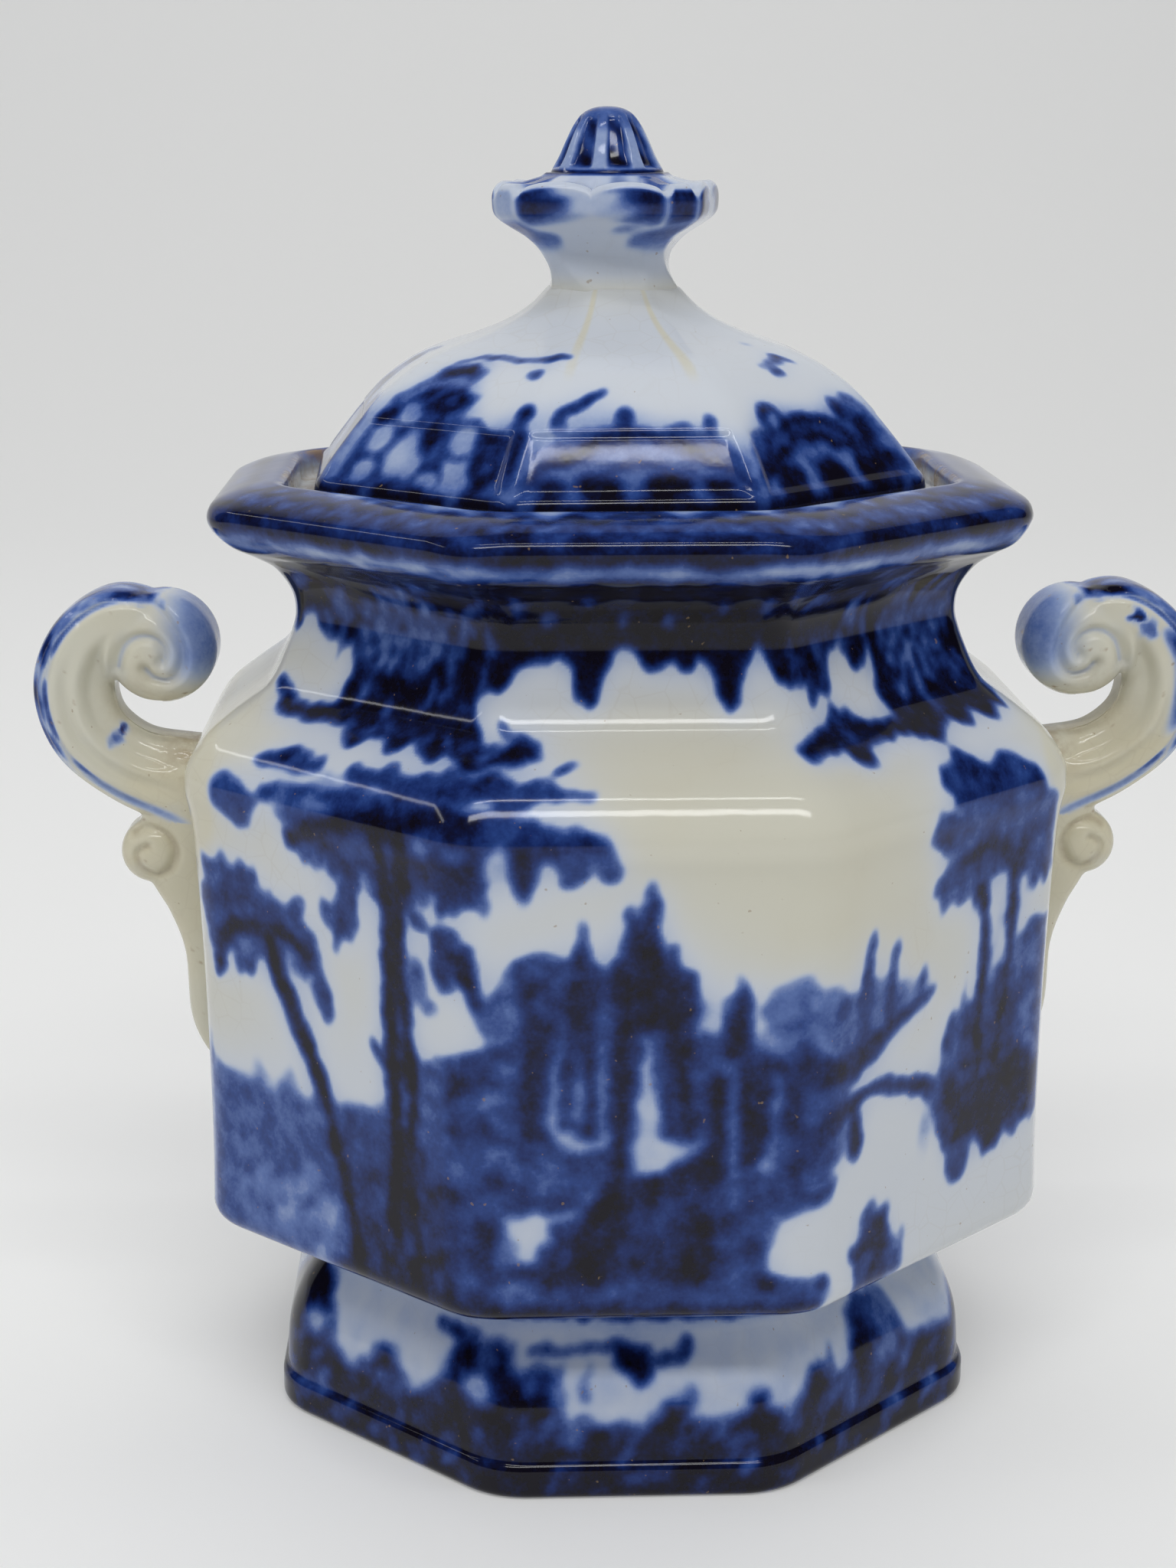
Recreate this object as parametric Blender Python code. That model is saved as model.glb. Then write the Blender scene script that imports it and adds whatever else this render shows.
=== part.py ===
"""Octagonal ironstone sugar bowl: foot, shouldered bowl, two scroll handles, loose domed lid and knob.

Metres, +Z up. The origin is the centre of the foot's resting face. The handles lie along X, and one of
the octagon's flat panels faces -Y. Profiles are written in millimetres as (half depth, height) pairs and
are swept round a rounded octagon.
"""

import math

import bmesh
import bpy
from mathutils import Matrix, Vector

MM = 0.001
JOINT_GAP = 0.3  # glaze line between two pieces that touch

# Driving dimensions, in millimetres.
WALL_HALF_DEPTH = 62.6  # bowl wall, axis to the flat front panel
FOOT_HALF_DEPTH = 53.4
LIP_HALF_DEPTH = 59.3
NECK_HALF_DEPTH = 48.0
BOWL_FLOOR = 33.0  # underside of the bowl, top of the foot
SHOULDER_HEIGHT = 105.0
NECK_HEIGHT = 128.4
RIM_HEIGHT = 148.6
LEDGE_HEIGHT = 144.4  # gallery that the lid stands on
SEAM_HEIGHT = 175.6  # where the finial is luted to the lid
TOTAL_HEIGHT = 202.8

# The octagon is a little wider across the handles than from front to back.
WIDTH_RATIO = 1.038
FACET = math.tan(math.radians(22.5))
FRONT_FACET = 0.97 * FACET

# The loose lid stands a little off centre and askew in its gallery.
LID_SHIFT = -1.3
LID_TURN = math.radians(2.2)
FINIAL_SHIFT = -1.0
FINIAL_TURN = math.radians(-9.0)

HANDLE_WIDTH = 15.0
CORNER_STEPS = 3


# ---------------------------------------------------------------- outlines


def curve(points, steps):
    """Catmull-Rom curve through the points, with the given number of steps between two of them."""
    ends = [points[0]] + list(points) + [points[-1]]
    found = []
    for a, b, c, d in zip(ends, ends[1:], ends[2:], ends[3:]):
        for step in range(steps):
            t = step / steps
            found.append(
                tuple(
                    0.5 * (2 * q + (r - p) * t + (2 * p - 5 * q + 4 * r - s) * t**2 + (3 * q - p - 3 * r + s) * t**3)
                    for p, q, r, s in zip(a, b, c, d)
                )
            )
    return found + [tuple(points[-1])]


def arc(centre, radius, start, end, steps):
    """Points on a circular arc, angles in degrees."""
    angles = [math.radians(start + (end - start) * step / steps) for step in range(steps + 1)]
    return [(centre[0] + radius * math.cos(a), centre[1] + radius * math.sin(a)) for a in angles]


def rounded(corners, cut, steps=CORNER_STEPS):
    """The polygon with each corner replaced by a curve that starts `cut` before it and ends `cut` after it."""
    found = []
    count = len(corners)
    for i, corner in enumerate(corners):
        corner = Vector(corner)
        before = (Vector(corners[i - 1]) - corner).normalized() * cut
        after = (Vector(corners[(i + 1) % count]) - corner).normalized() * cut
        for step in range(steps + 1):
            t = step / steps
            found.append(corner + before * (1 - t) ** 2 + after * t**2)
    return found


def octagon(half_depth, cut):
    """Rounded octagon section of the bowl, counterclockwise from its front facet."""
    x, y = half_depth * WIDTH_RATIO, half_depth
    short_x, short_y = half_depth * FRONT_FACET, half_depth * FACET
    corners = [
        (-short_x, -y), (short_x, -y), (x, -short_y), (x, short_y),
        (short_x, y), (-short_x, y), (-x, short_y), (-x, -short_y),
    ]  # fmt: skip
    return rounded(corners, min(cut, 0.4 * short_x))


def chamfered_square(half, chamfer, turn, cut):
    """Square section with its corners cut off, turned about the axis."""
    side = half - chamfer
    corners = [
        (-side, -half), (side, -half), (half, -side), (half, side),
        (side, half), (-side, half), (-half, side), (-half, -side),
    ]  # fmt: skip
    spin = Matrix.Rotation(turn, 2)
    return [spin @ point for point in rounded(corners, cut)]


# ---------------------------------------------------------------- objects


def material(name, colour, roughness):
    made = bpy.data.materials.new(name)
    made.use_nodes = True
    shader = made.node_tree.nodes["Principled BSDF"]
    shader.inputs["Base Color"].default_value = (*colour, 1)
    shader.inputs["Roughness"].default_value = roughness
    shader.inputs["Metallic"].default_value = 0
    return made


def add_object(name, bm, surface=None):
    bmesh.ops.recalc_face_normals(bm, faces=bm.faces)
    if bm.calc_volume(signed=True) < 0:
        bmesh.ops.reverse_faces(bm, faces=bm.faces)
    mesh = bpy.data.meshes.new(name)
    bm.to_mesh(mesh)
    bm.free()
    mesh.shade_smooth()
    mesh.set_sharp_from_angle(angle=math.radians(35))
    if surface:
        mesh.materials.append(surface)
    obj = bpy.data.objects.new(name, mesh)
    bpy.context.collection.objects.link(obj)
    return obj


def loft(rings, ring_shaped=False):
    """Mesh through rings of points in millimetres: capped at both ends, or closed round into a ring shape."""
    bm = bmesh.new()
    rows = [[bm.verts.new(Vector(point) * MM) for point in ring] for ring in rings]
    if ring_shaped:
        pairs = list(zip(rows, rows[1:] + rows[:1]))
    else:
        pairs = list(zip(rows, rows[1:]))
        for row in (rows[0], rows[-1]):
            hub = bm.verts.new(sum((v.co for v in row), Vector()) / len(row))
            for a, b in zip(row, row[1:] + row[:1]):
                bm.faces.new((hub, a, b))
    for low, high in pairs:
        for i in range(len(low)):
            j = (i + 1) % len(low)
            bm.faces.new((low[i], low[j], high[j], high[i]))
    return bm


def octagon_rings(profile, cut):
    return [[(p.x, p.y, height) for p in octagon(half, cut)] for half, height in profile]


def sweep(path, steps):
    """Tube in the XZ plane. Each point of the path is (x, z, thickness, width) in millimetres."""
    stations = curve(path, steps)
    rings = []
    for i, (x, z, thick, width) in enumerate(stations):
        before, after = stations[max(i - 1, 0)], stations[min(i + 1, len(stations) - 1)]
        along = Vector((after[0] - before[0], 0, after[1] - before[1])).normalized()
        across = Vector((-along.z, 0, along.x))
        ring = []
        for p in rounded([(-1, -1), (1, -1), (1, 1), (-1, 1)], 0.72):
            ring.append(Vector((x, 0, z)) + across * p.x * thick / 2 + Vector((0, p.y * width / 2, 0)))
        rings.append(ring)
    return loft(rings)


def roll(x, z, radius, width, edge):
    """Short barrel with rounded edges, its axis along Y."""
    flat = width / 2 - edge
    profile = arc((radius - edge, -flat), edge, -90, 0, 4) + arc((radius - edge, flat), edge, 0, 90, 4)
    sides = 24
    rings = []
    for r, y in profile:
        turns = [2 * math.pi * side / sides for side in range(sides)]
        rings.append([(x + r * math.cos(a), y, z + r * math.sin(a)) for a in turns])
    return loft(rings)


def helper(obj):
    obj.hide_render = True
    obj.display_type = "WIRE"
    return obj


def combine(obj, other, operation):
    step = obj.modifiers.new(f"{operation.lower()}_{other.name}", "BOOLEAN")
    step.operation = operation
    step.solver = "EXACT"
    step.object = other


# ---------------------------------------------------------------- pieces


def wall_profile():
    """Outside of the bowl, from its underside up to the crease below the lip."""
    roll_radius = 3.6
    bottom = arc((WALL_HALF_DEPTH - roll_radius, BOWL_FLOOR + roll_radius), roll_radius, -90, 0, 3)
    wall = curve(
        [
            (WALL_HALF_DEPTH - 0.2, 50),
            (WALL_HALF_DEPTH + 0.1, 75),
            (WALL_HALF_DEPTH + 0.9, 96),
            (WALL_HALF_DEPTH + 2.1, SHOULDER_HEIGHT),
        ],
        2,
    )
    shoulder = curve([(WALL_HALF_DEPTH + 1.6, 107.6), (61.6, 110.8), (57.2, 114.4), (53.3, 117.2)], 1)
    neck = curve([(50.6, 120.0), (49.0, 123.4), (NECK_HALF_DEPTH, NECK_HEIGHT), (48.6, 132.4), (50.8, 135.9)], 1)
    return bottom + wall + shoulder + neck


def lip_profile():
    """Rolled lip, from its underside over the top to the gallery ledge."""
    underside = [(53.6, 137.9), (56.8, 139.9)]
    rolled = arc((LIP_HALF_DEPTH - 2.9, 143.6), 2.9, -40, 60, 4)
    top = [(54.6, RIM_HEIGHT - 1.0), (49.4, RIM_HEIGHT), (48.4, RIM_HEIGHT - 0.9)]
    ledge = [(48.2, LEDGE_HEIGHT), (42.2, LEDGE_HEIGHT)]
    return underside + rolled + top + ledge


def inside_profile():
    """Inside of the bowl, from the mouth down to its floor."""
    mouth = [(41.4, LEDGE_HEIGHT - 1.4), (41.8, 138.5)]
    neck = [(43.4, NECK_HEIGHT), (45.6, 121.5), (50.6, 115.2), (57.8, 109.0)]
    wall = [(59.6, SHOULDER_HEIGHT - 1), (58.4, 90), (58.0, 50)]
    floor = curve([(57.0, 42.0), (54.0, 38.8), (49.0, 37.6), (38.0, 37.2)], 1)
    return mouth + neck + wall + floor


def add_bowl_body(surface):
    profile = [(30.0, BOWL_FLOOR)] + wall_profile() + lip_profile() + inside_profile()
    return add_object("bowl_body", loft(octagon_rings(profile, 4.0)), surface)


def add_pedestal_foot(surface):
    """Flaring skirt on a short plinth band, open above and below."""
    band = arc((FOOT_HALF_DEPTH - 1.4, 1.4), 1.4, -90, 0, 2) + [(FOOT_HALF_DEPTH, 5.0)]
    skirt = curve([(53.0, 6.2), (52.0, 14.0), (50.2, 19.2), (47.4, 24.4), (46.2, 29.0)], 2)
    top = [(46.6, BOWL_FLOOR - JOINT_GAP), (41.0, BOWL_FLOOR - JOINT_GAP)]
    inside = curve([(41.4, 27.0), (45.2, 17.0), (47.6, 2.0)], 2) + [(48.2, 0.0)]
    return add_object("pedestal_foot", loft(octagon_rings(band + skirt + top + inside, 5.0), True), surface)


def bowl_cutter():
    """The outside of the bowl grown by the joint gap, which trims the handles' roots."""
    profile = [(half + JOINT_GAP, height) for half, height in wall_profile()]
    return helper(add_object("bowl_cutter", loft(octagon_rings(profile, 4.0))))


def add_handle(name, side, surface, cutter):
    """Scroll handle on one side: an arm that coils into a volute, and a tail with a small volute down the wall."""
    arm_path = [
        (side * 63.0, 97.0, 19.0, 13.0),
        (side * 70.0, 98.8, 15.0, 13.6),
        (side * 78.0, 101.8, 12.6, 14.4),
        (side * 84.2, 107.2, 12.6, HANDLE_WIDTH),
        (side * 86.2, 114.4, 12.8, HANDLE_WIDTH),
        (side * 84.2, 120.8, 12.0, HANDLE_WIDTH),
        (side * 79.4, 125.0, 10.6, HANDLE_WIDTH),
        (side * 73.4, 125.8, 9.2, HANDLE_WIDTH),
    ]
    tail_path = [
        (side * 66.6, 53.6, 3.0, 5.0),
        (side * 67.4, 60.0, 6.0, 7.4),
        (side * 67.4, 71.0, 7.0, 8.4),
        (side * 69.0, 79.0, 9.0, 9.4),
        (side * 71.0, 87.0, 12.0, 10.6),
        (side * 70.0, 95.0, 14.0, 12.0),
    ]
    handle = add_object(name, sweep(arm_path, 3), surface)
    rolls = [
        add_object(f"{name}_volute", roll(side * 72.2, 120.7, 8.6, 16.4, 4.0)),
        add_object(f"{name}_small_volute", roll(side * 74.8, 87.6, 5.3, 11.6, 2.4)),
        add_object(f"{name}_tail", sweep(tail_path, 3)),
    ]
    for piece in rolls:
        combine(handle, helper(piece), "UNION")
    combine(handle, cutter, "DIFFERENCE")
    return handle


def lid_profile():
    """Solid top of the lid, down its dome to the rim, then the locating ring and the hollow underneath."""
    cone = curve([(8.9, SEAM_HEIGHT - JOINT_GAP), (11.2, 173.2), (14.6, 170.8), (19.6, 168.8), (25.4, 167.0)], 1)
    dome = curve([(29.6, 164.9), (33.8, 161.7), (37.2, 158.0), (39.9, 154.6), (42.4, 151.2)], 1)
    rim = [(43.4, 149.8), (44.2, 148.2), (44.3, LEDGE_HEIGHT + JOINT_GAP)]
    ring = [(39.0, LEDGE_HEIGHT + JOINT_GAP), (39.0, 139.4), (38.4, 138.8), (35.4, 138.8), (34.8, 139.4)]
    hollow = curve([(35.2, 144.0), (36.8, 149.4), (35.2, 154.2), (31.4, 158.6), (24.0, 162.8), (12.0, 165.6)], 1)
    return cone + dome + rim + ring + hollow


def add_lid(surface, seat):
    lid = add_object("lid", loft(octagon_rings(lid_profile(), 3.0)), surface)
    lid.parent = seat
    return lid


def add_finial(surface, seat):
    """Square scalloped flange on a waisted neck, with a ribbed knob on top."""
    # (half width, height, corner chamfer as a share of the half width, how far it is turned)
    neck = curve(
        [
            (9.2, SEAM_HEIGHT, 0.56, 0.0),
            (8.2, 178.2, 0.42, 0.4),
            (8.8, 181.0, 0.30, 0.8),
            (11.8, 184.2, 0.18, 1.0),
            (14.6, 186.2, 0.14, 1.0),
        ],
        2,
    )
    flange = [(15.3, 187.4, 0.14, 1.0), (15.3, 190.6, 0.14, 1.0), (14.3, 192.0, 0.14, 1.0), (10.0, 192.4, 0.2, 1.0)]
    knob = [
        (7.9, 192.9, 0.5, 1.0), (7.4, 194.2, 0.56, 1.0), (6.2, 197.0, 0.56, 1.0),
        (4.8, 199.8, 0.56, 1.0), (2.8, 202.1, 0.56, 1.0), (0.9, TOTAL_HEIGHT, 0.56, 1.0),
    ]  # fmt: skip
    rings = []
    for half, height, chamfer, turned in neck + flange + knob:
        section = chamfered_square(half, half * chamfer, FINIAL_TURN * turned, 0.12 * half)
        rings.append([(p.x + FINIAL_SHIFT, p.y, height) for p in section])
    finial = add_object("finial", loft(rings), surface)
    finial.parent = seat
    return finial


def main():
    for obj in list(bpy.data.objects):
        bpy.data.objects.remove(obj)
    cream = material("cream_glaze", (0.70, 0.68, 0.58), 0.12)
    cobalt = material("cobalt_print_glaze", (0.16, 0.22, 0.45), 0.12)
    navy = material("navy_print_glaze", (0.05, 0.08, 0.22), 0.12)
    pale = material("pale_blue_glaze", (0.55, 0.60, 0.70), 0.12)

    add_bowl_body(cobalt)
    add_pedestal_foot(navy)
    cutter = bowl_cutter()
    add_handle("handle_left", -1, cream, cutter)
    add_handle("handle_right", 1, cream, cutter)

    seat = bpy.data.objects.new("lid_lift_axis", None)
    seat.location = (LID_SHIFT * MM, 0, 0)
    seat.rotation_euler = (0, 0, LID_TURN)
    bpy.context.collection.objects.link(seat)
    add_lid(cobalt, seat)
    add_finial(pale, seat)


main()
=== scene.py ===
"""Looks of an octagonal ironstone sugar bowl with a blurred cobalt print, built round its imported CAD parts.

Shapes are in millimetres in the frame's axes: X through the handles, -Y out of the front panel, +Z up.
The print is painted in code on each surface unrolled flat: `across` runs round the octagon from the middle
of the front panel, and `up` runs up the profile.
"""

import math

import bmesh
import bpy
import numpy as np
from mathutils import Matrix, Vector

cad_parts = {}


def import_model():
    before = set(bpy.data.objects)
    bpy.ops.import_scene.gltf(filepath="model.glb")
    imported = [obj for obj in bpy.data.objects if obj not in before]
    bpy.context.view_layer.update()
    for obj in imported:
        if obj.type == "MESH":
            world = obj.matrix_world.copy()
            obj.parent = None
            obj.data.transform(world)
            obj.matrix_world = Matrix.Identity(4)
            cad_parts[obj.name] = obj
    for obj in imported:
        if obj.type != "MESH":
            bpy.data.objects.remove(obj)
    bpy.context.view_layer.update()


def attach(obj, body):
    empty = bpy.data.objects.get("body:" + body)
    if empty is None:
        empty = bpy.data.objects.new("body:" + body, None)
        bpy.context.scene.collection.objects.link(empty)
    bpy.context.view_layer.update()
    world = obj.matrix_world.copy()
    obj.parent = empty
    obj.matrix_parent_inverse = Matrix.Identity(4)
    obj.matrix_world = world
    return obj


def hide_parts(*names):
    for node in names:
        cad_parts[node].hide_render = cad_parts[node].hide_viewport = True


MM = 0.001
# the octagon for a half depth of 1: half widths of a side panel and of the front one, and its half width
FACET = math.tan(math.radians(22.5))
FRONT_FACET = 0.97 * FACET
WIDTH_RATIO = 1.038

WALL = 62.6  # half depth of the bowl's panels
FOOT = 53.4  # and of the foot's
LID = 44.3  # and of the lid's rim
BOWL_FLOOR = 33.0
LIP_END = (48.2, 146.8)  # half depth and height where the print ends inside the lip
NECK_END = 139.2  # heights where the neck's print stops under the lip, and where the lip's own starts
LIP_START = 143.8
LIP_SHIFT = -0.9  # the lip is a little warped
LID_SHIFT = -1.3  # the loose lid stands a little askew
LID_TURN = math.radians(2.2)
FINIAL_SHIFT = -1.0  # its top stands off the lid's axis
FINIAL_TURN = math.radians(-13.5)


# ---------------------------------------------------------------- numbers

WAVES = 10  # in each ripple


def smooth(value, low, high):
    """0 below low, 1 above high, and an S curve between."""
    t = np.clip((value - low) / (high - low), 0, 1)
    return t * t * (3 - 2 * t)


def ripple(x, y, size, seed):
    """Smooth noise of about unit height from a few waves of about this size."""
    random = np.random.default_rng(seed)
    total = np.zeros_like(x)
    for _ in range(WAVES):
        angle = random.uniform(0, math.tau)
        wave = math.tau / (size * random.uniform(0.6, 1.9))
        phase = random.uniform(0, math.tau)
        total += np.sin((x * math.cos(angle) + y * math.sin(angle)) * wave + phase)
    return total / math.sqrt(WAVES)


def curve(points, steps):
    """Catmull-Rom curve through the points."""
    ends = [points[0], *points, points[-1]]
    found = []
    for p, q, r, s in zip(ends, ends[1:], ends[2:], ends[3:]):
        p, q, r, s = (np.array(v, float) for v in (p, q, r, s))
        for t in np.arange(steps) / steps:
            bend = (2 * p - 5 * q + 4 * r - s) * t**2 + (3 * q - p - 3 * r + s) * t**3
            found.append(0.5 * (2 * q + (r - p) * t + bend))
    return np.array([*found, points[-1]], float)


def arc(centre, radius, start, end, steps=12):
    """Points round a centre between two angles in degrees."""
    angles = np.radians(np.linspace(start, end, steps + 1))
    return np.stack([centre[0] + radius * np.cos(angles), centre[1] + radius * np.sin(angles)], 1)


def lengths_along(points):
    """Distance of each point along the line through them all."""
    return np.concatenate([[0], np.cumsum(np.linalg.norm(np.diff(points, axis=0), axis=1))])


def ridge(value, centre, width):
    """1 where the value is at the centre, fading to 0 over about this width on both sides."""
    return np.exp(-(((value - centre) / width) ** 2))


def stretch_gaps(x, y, points):
    """For each stretch of a line: the distance to it, and how far along it the nearest place is."""
    for (ax, ay, *_), (bx, by, *_) in zip(points, points[1:]):
        length = max((bx - ax) ** 2 + (by - ay) ** 2, 1e-9)
        share = np.clip(((x - ax) * (bx - ax) + (y - ay) * (by - ay)) / length, 0, 1)
        yield np.hypot(x - ax - share * (bx - ax), y - ay - share * (by - ay)), share


def resample(points, spacing):
    """The same line with evenly spaced points."""
    points = np.asarray(points, float)
    along = lengths_along(points)
    places = np.linspace(0, along[-1], max(2, round(along[-1] / spacing) + 1))
    return np.stack([np.interp(places, along, column) for column in points.T], 1)


def profile_of(*stretches):
    """One outline from (points, spacing) stretches, each keeping its own corners."""
    parts = [resample(points, spacing) for points, spacing in stretches]
    found = [parts[0]]
    for before, part in zip(parts, parts[1:]):
        repeated = np.allclose(before[-1], part[0], atol=1e-3)
        found.append(part[1:] if repeated else part)
    return np.concatenate(found)


def row_at(profile, point):
    """Index of this point of a profile."""
    return int(np.flatnonzero(np.abs(profile - point).sum(1) < 0.02)[0])


# ---------------------------------------------------------------- octagon surfaces

UNIT_QUADRANT = np.array([(FRONT_FACET, -1), (WIDTH_RATIO, -FACET), (WIDTH_RATIO, FACET), (FRONT_FACET, 1)])
UNIT_CORNERS = np.concatenate([UNIT_QUADRANT, -UNIT_QUADRANT])
UNIT_SIDES = np.roll(UNIT_CORNERS, -1, axis=0) - UNIT_CORNERS
UNIT_LENGTHS = np.linalg.norm(UNIT_SIDES, axis=1)
UNIT_WAYS = UNIT_SIDES / UNIT_LENGTHS[:, None]
UNIT_STOPS = FRONT_FACET + np.concatenate([[0], np.cumsum(UNIT_LENGTHS)])
UNIT_ROUND = UNIT_LENGTHS.sum()

# how the cobalt has run in the glaze, with reaches as multiples of each piece's own run
HAZE_REACH = 4.5
HALOS = ((0.7, 3.2), (0.9, 16))  # share, reach
PATCHES = ((0.11, 5.5, 40), (0.07, 2.1, 41))  # how uneven the ink lies: depth, size, added to the seed


def octagon_points(across, half, cut):
    """Points at these unit distances round a rounded octagon of this half depth, in millimetres."""
    cut = min(cut / half, 0.4 * FRONT_FACET)
    place = np.mod(across - FRONT_FACET, UNIT_ROUND)
    side = np.clip(np.searchsorted(UNIT_STOPS - FRONT_FACET, place, side="right") - 1, 0, 7)
    done = place - (UNIT_STOPS[side] - FRONT_FACET)
    left = UNIT_LENGTHS[side] - done
    points = UNIT_CORNERS[side] + UNIT_WAYS[side] * done[:, None]
    for near, corner in ((done, side), (-left, (side + 1) % 8)):
        bent = np.abs(near) < cut
        t = ((near + cut) / (2 * cut))[:, None]
        turned = UNIT_CORNERS[corner] - UNIT_WAYS[corner - 1] * cut * (1 - t) ** 2
        turned = turned + UNIT_WAYS[corner] * cut * t**2
        points = np.where(bent[:, None], turned, points)
    return points * half


def columns_round(reference, front, side, back):
    """Distances round the octagon from the middle of its left panel, at these spacings on its panels."""
    quarter = UNIT_ROUND * reference / 4
    inner = UNIT_STOPS[1] * reference
    stretches = (
        (-quarter, -inner, side),
        (-inner, inner, front),
        (inner, 2 * quarter - inner, side),
        (2 * quarter - inner, 2 * quarter + inner, back),
        (2 * quarter + inner, 3 * quarter, side),
    )
    parts = [np.linspace(a, b, round((b - a) / step), endpoint=False) for a, b, step in stretches]
    return np.concatenate(parts)


class Skin:
    """A surface of stacked rings of points, with ink, stain and blue-white haze at every vertex."""

    def __init__(self, rings, closed=False):
        self.points = np.array(rings)
        self.closed = closed  # the last ring joins the first
        self.ink, self.stain, self.cool = np.zeros((3, *self.points.shape[:2]))

    def build(self, name, glaze, run=0.6, haze=0.32):
        """The skin as an object, once its ink has run this many millimetres into the glaze."""
        self.ink = spread(self.ink, self.points, run)
        self.ink = np.maximum(self.ink, haze * spread(self.ink, self.points, HAZE_REACH * run))
        halo = sum(share * spread(self.ink, self.points, reach * run) for share, reach in HALOS)
        halo = np.clip(halo + self.cool, 0, 1)
        rows, columns = self.ink.shape
        hubs = [] if self.closed else [self.points[0].mean(0), self.points[-1].mean(0)]
        points = np.concatenate([self.points.reshape(-1, 3), np.array(hubs).reshape(-1, 3)])
        index = np.arange(rows * columns).reshape(rows, columns)
        low, high = (index, np.roll(index, -1, 0)) if self.closed else (index[:-1], index[1:])
        quads = np.stack([low, np.roll(low, -1, 1), np.roll(high, -1, 1), high], -1).reshape(-1, 4)
        faces = quads.tolist()
        if not self.closed:
            first, last = index[0], index[-1]
            faces += [(rows * columns, b, a) for a, b in zip(first, np.roll(first, -1))]
            faces += [(rows * columns + 1, a, b) for a, b in zip(last, np.roll(last, -1))]
        extra = np.zeros(len(hubs))
        layers = {
            layer: np.concatenate([values.ravel(), extra])
            for layer, values in (("ink", self.ink), ("halo", halo), ("stain", self.stain))
        }
        return add_mesh(name, points * MM, faces, glaze, layers)


class OctagonSkin(Skin):
    """A skin of rounded octagons, one for each point of a profile, that a painter can print on."""

    def __init__(self, profile, reference, cut, spacings, closed=False):
        self.profile = profile
        self.across = columns_round(reference, *spacings)
        self.quarter = UNIT_ROUND * reference / 4
        rings = []
        for (half, height), ring_cut in zip(profile, np.broadcast_to(cut, len(profile))):
            flat = octagon_points(self.across / reference, half, ring_cut)
            rings.append(np.column_stack([flat, np.full(len(flat), height)]))
        super().__init__(rings, closed)

    def paint(self, rows, up, painter, wobble, seed):
        """Runs the painter on the front half and again on the back half of these rows, at these heights."""
        for turn in (0, 2 * self.quarter):
            inside = np.flatnonzero(np.abs(self.across - turn) <= self.quarter + 1e-6)
            sheet = Print(self.across[inside] - turn, up, wobble, seed)
            painter(sheet)
            uneven = sum(depth * ripple(sheet.x, sheet.y, size, seed + more) for depth, size,
                         more in PATCHES)
            uneven *= 1 - 0.9 * smooth(sheet.ink, 0.7, 0.92)  # near black stays even
            self.ink[np.ix_(rows, inside)] = sheet.ink * (1 + uneven)


def add_mesh(name, points, faces, glaze, layers):
    """Mesh object in metres with its glaze and its per-vertex numbers."""
    mesh = bpy.data.meshes.new(name)
    mesh.from_pydata(np.asarray(points).tolist(), [], faces)
    mesh.update()
    if signed_volume(mesh) < 0:
        mesh.flip_normals()
    mesh.shade_smooth()
    for layer, values in layers.items():
        made = mesh.attributes.new(layer, "FLOAT", "POINT")
        made.data.foreach_set("value", np.asarray(values, np.float32))
    mesh.materials.append(glaze)
    obj = bpy.data.objects.new(name, mesh)
    bpy.context.collection.objects.link(obj)
    return obj


def signed_volume(mesh):
    """Six times the volume inside the mesh, below zero when its faces look inwards."""
    mesh.calc_loop_triangles()
    points = np.empty(len(mesh.vertices) * 3, np.float32)
    mesh.vertices.foreach_get("co", points)
    corners = np.empty(len(mesh.loop_triangles) * 3, np.int32)
    mesh.loop_triangles.foreach_get("vertices", corners)
    a, b, c = points.reshape(-1, 3)[corners.reshape(-1, 3)].astype(float).transpose(1, 0, 2)
    return float(np.einsum("ij,ij->i", a, np.cross(b, c)).sum())


def spread(ink, points, size):
    """The ink blurred over about this many millimetres, as cobalt runs in the glaze."""
    blurred = np.clip(ink, 0, 1)
    for axis in (0, 1):
        steps = np.linalg.norm(np.diff(points, axis=axis), axis=2)
        spacing = max(0.25, float(np.median(steps)))
        reach = max(1, round(size * 2 / spacing))
        offsets = np.arange(-reach, reach + 1)
        weights = np.exp(-0.5 * (offsets * spacing / size) ** 2)
        weights /= weights.sum()
        moved = [np.roll(blurred, int(o), axis) * w for o, w in zip(offsets, weights)]
        blurred = sum(moved)
    return blurred


# ---------------------------------------------------------------- print engine


BLEED = 0.7  # half width of a painted edge whose softness is 1
DRAWN_IN = 0.35  # how far inside its outline a patch ends
MARGIN = 3.0  # looked at round each shape


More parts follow.
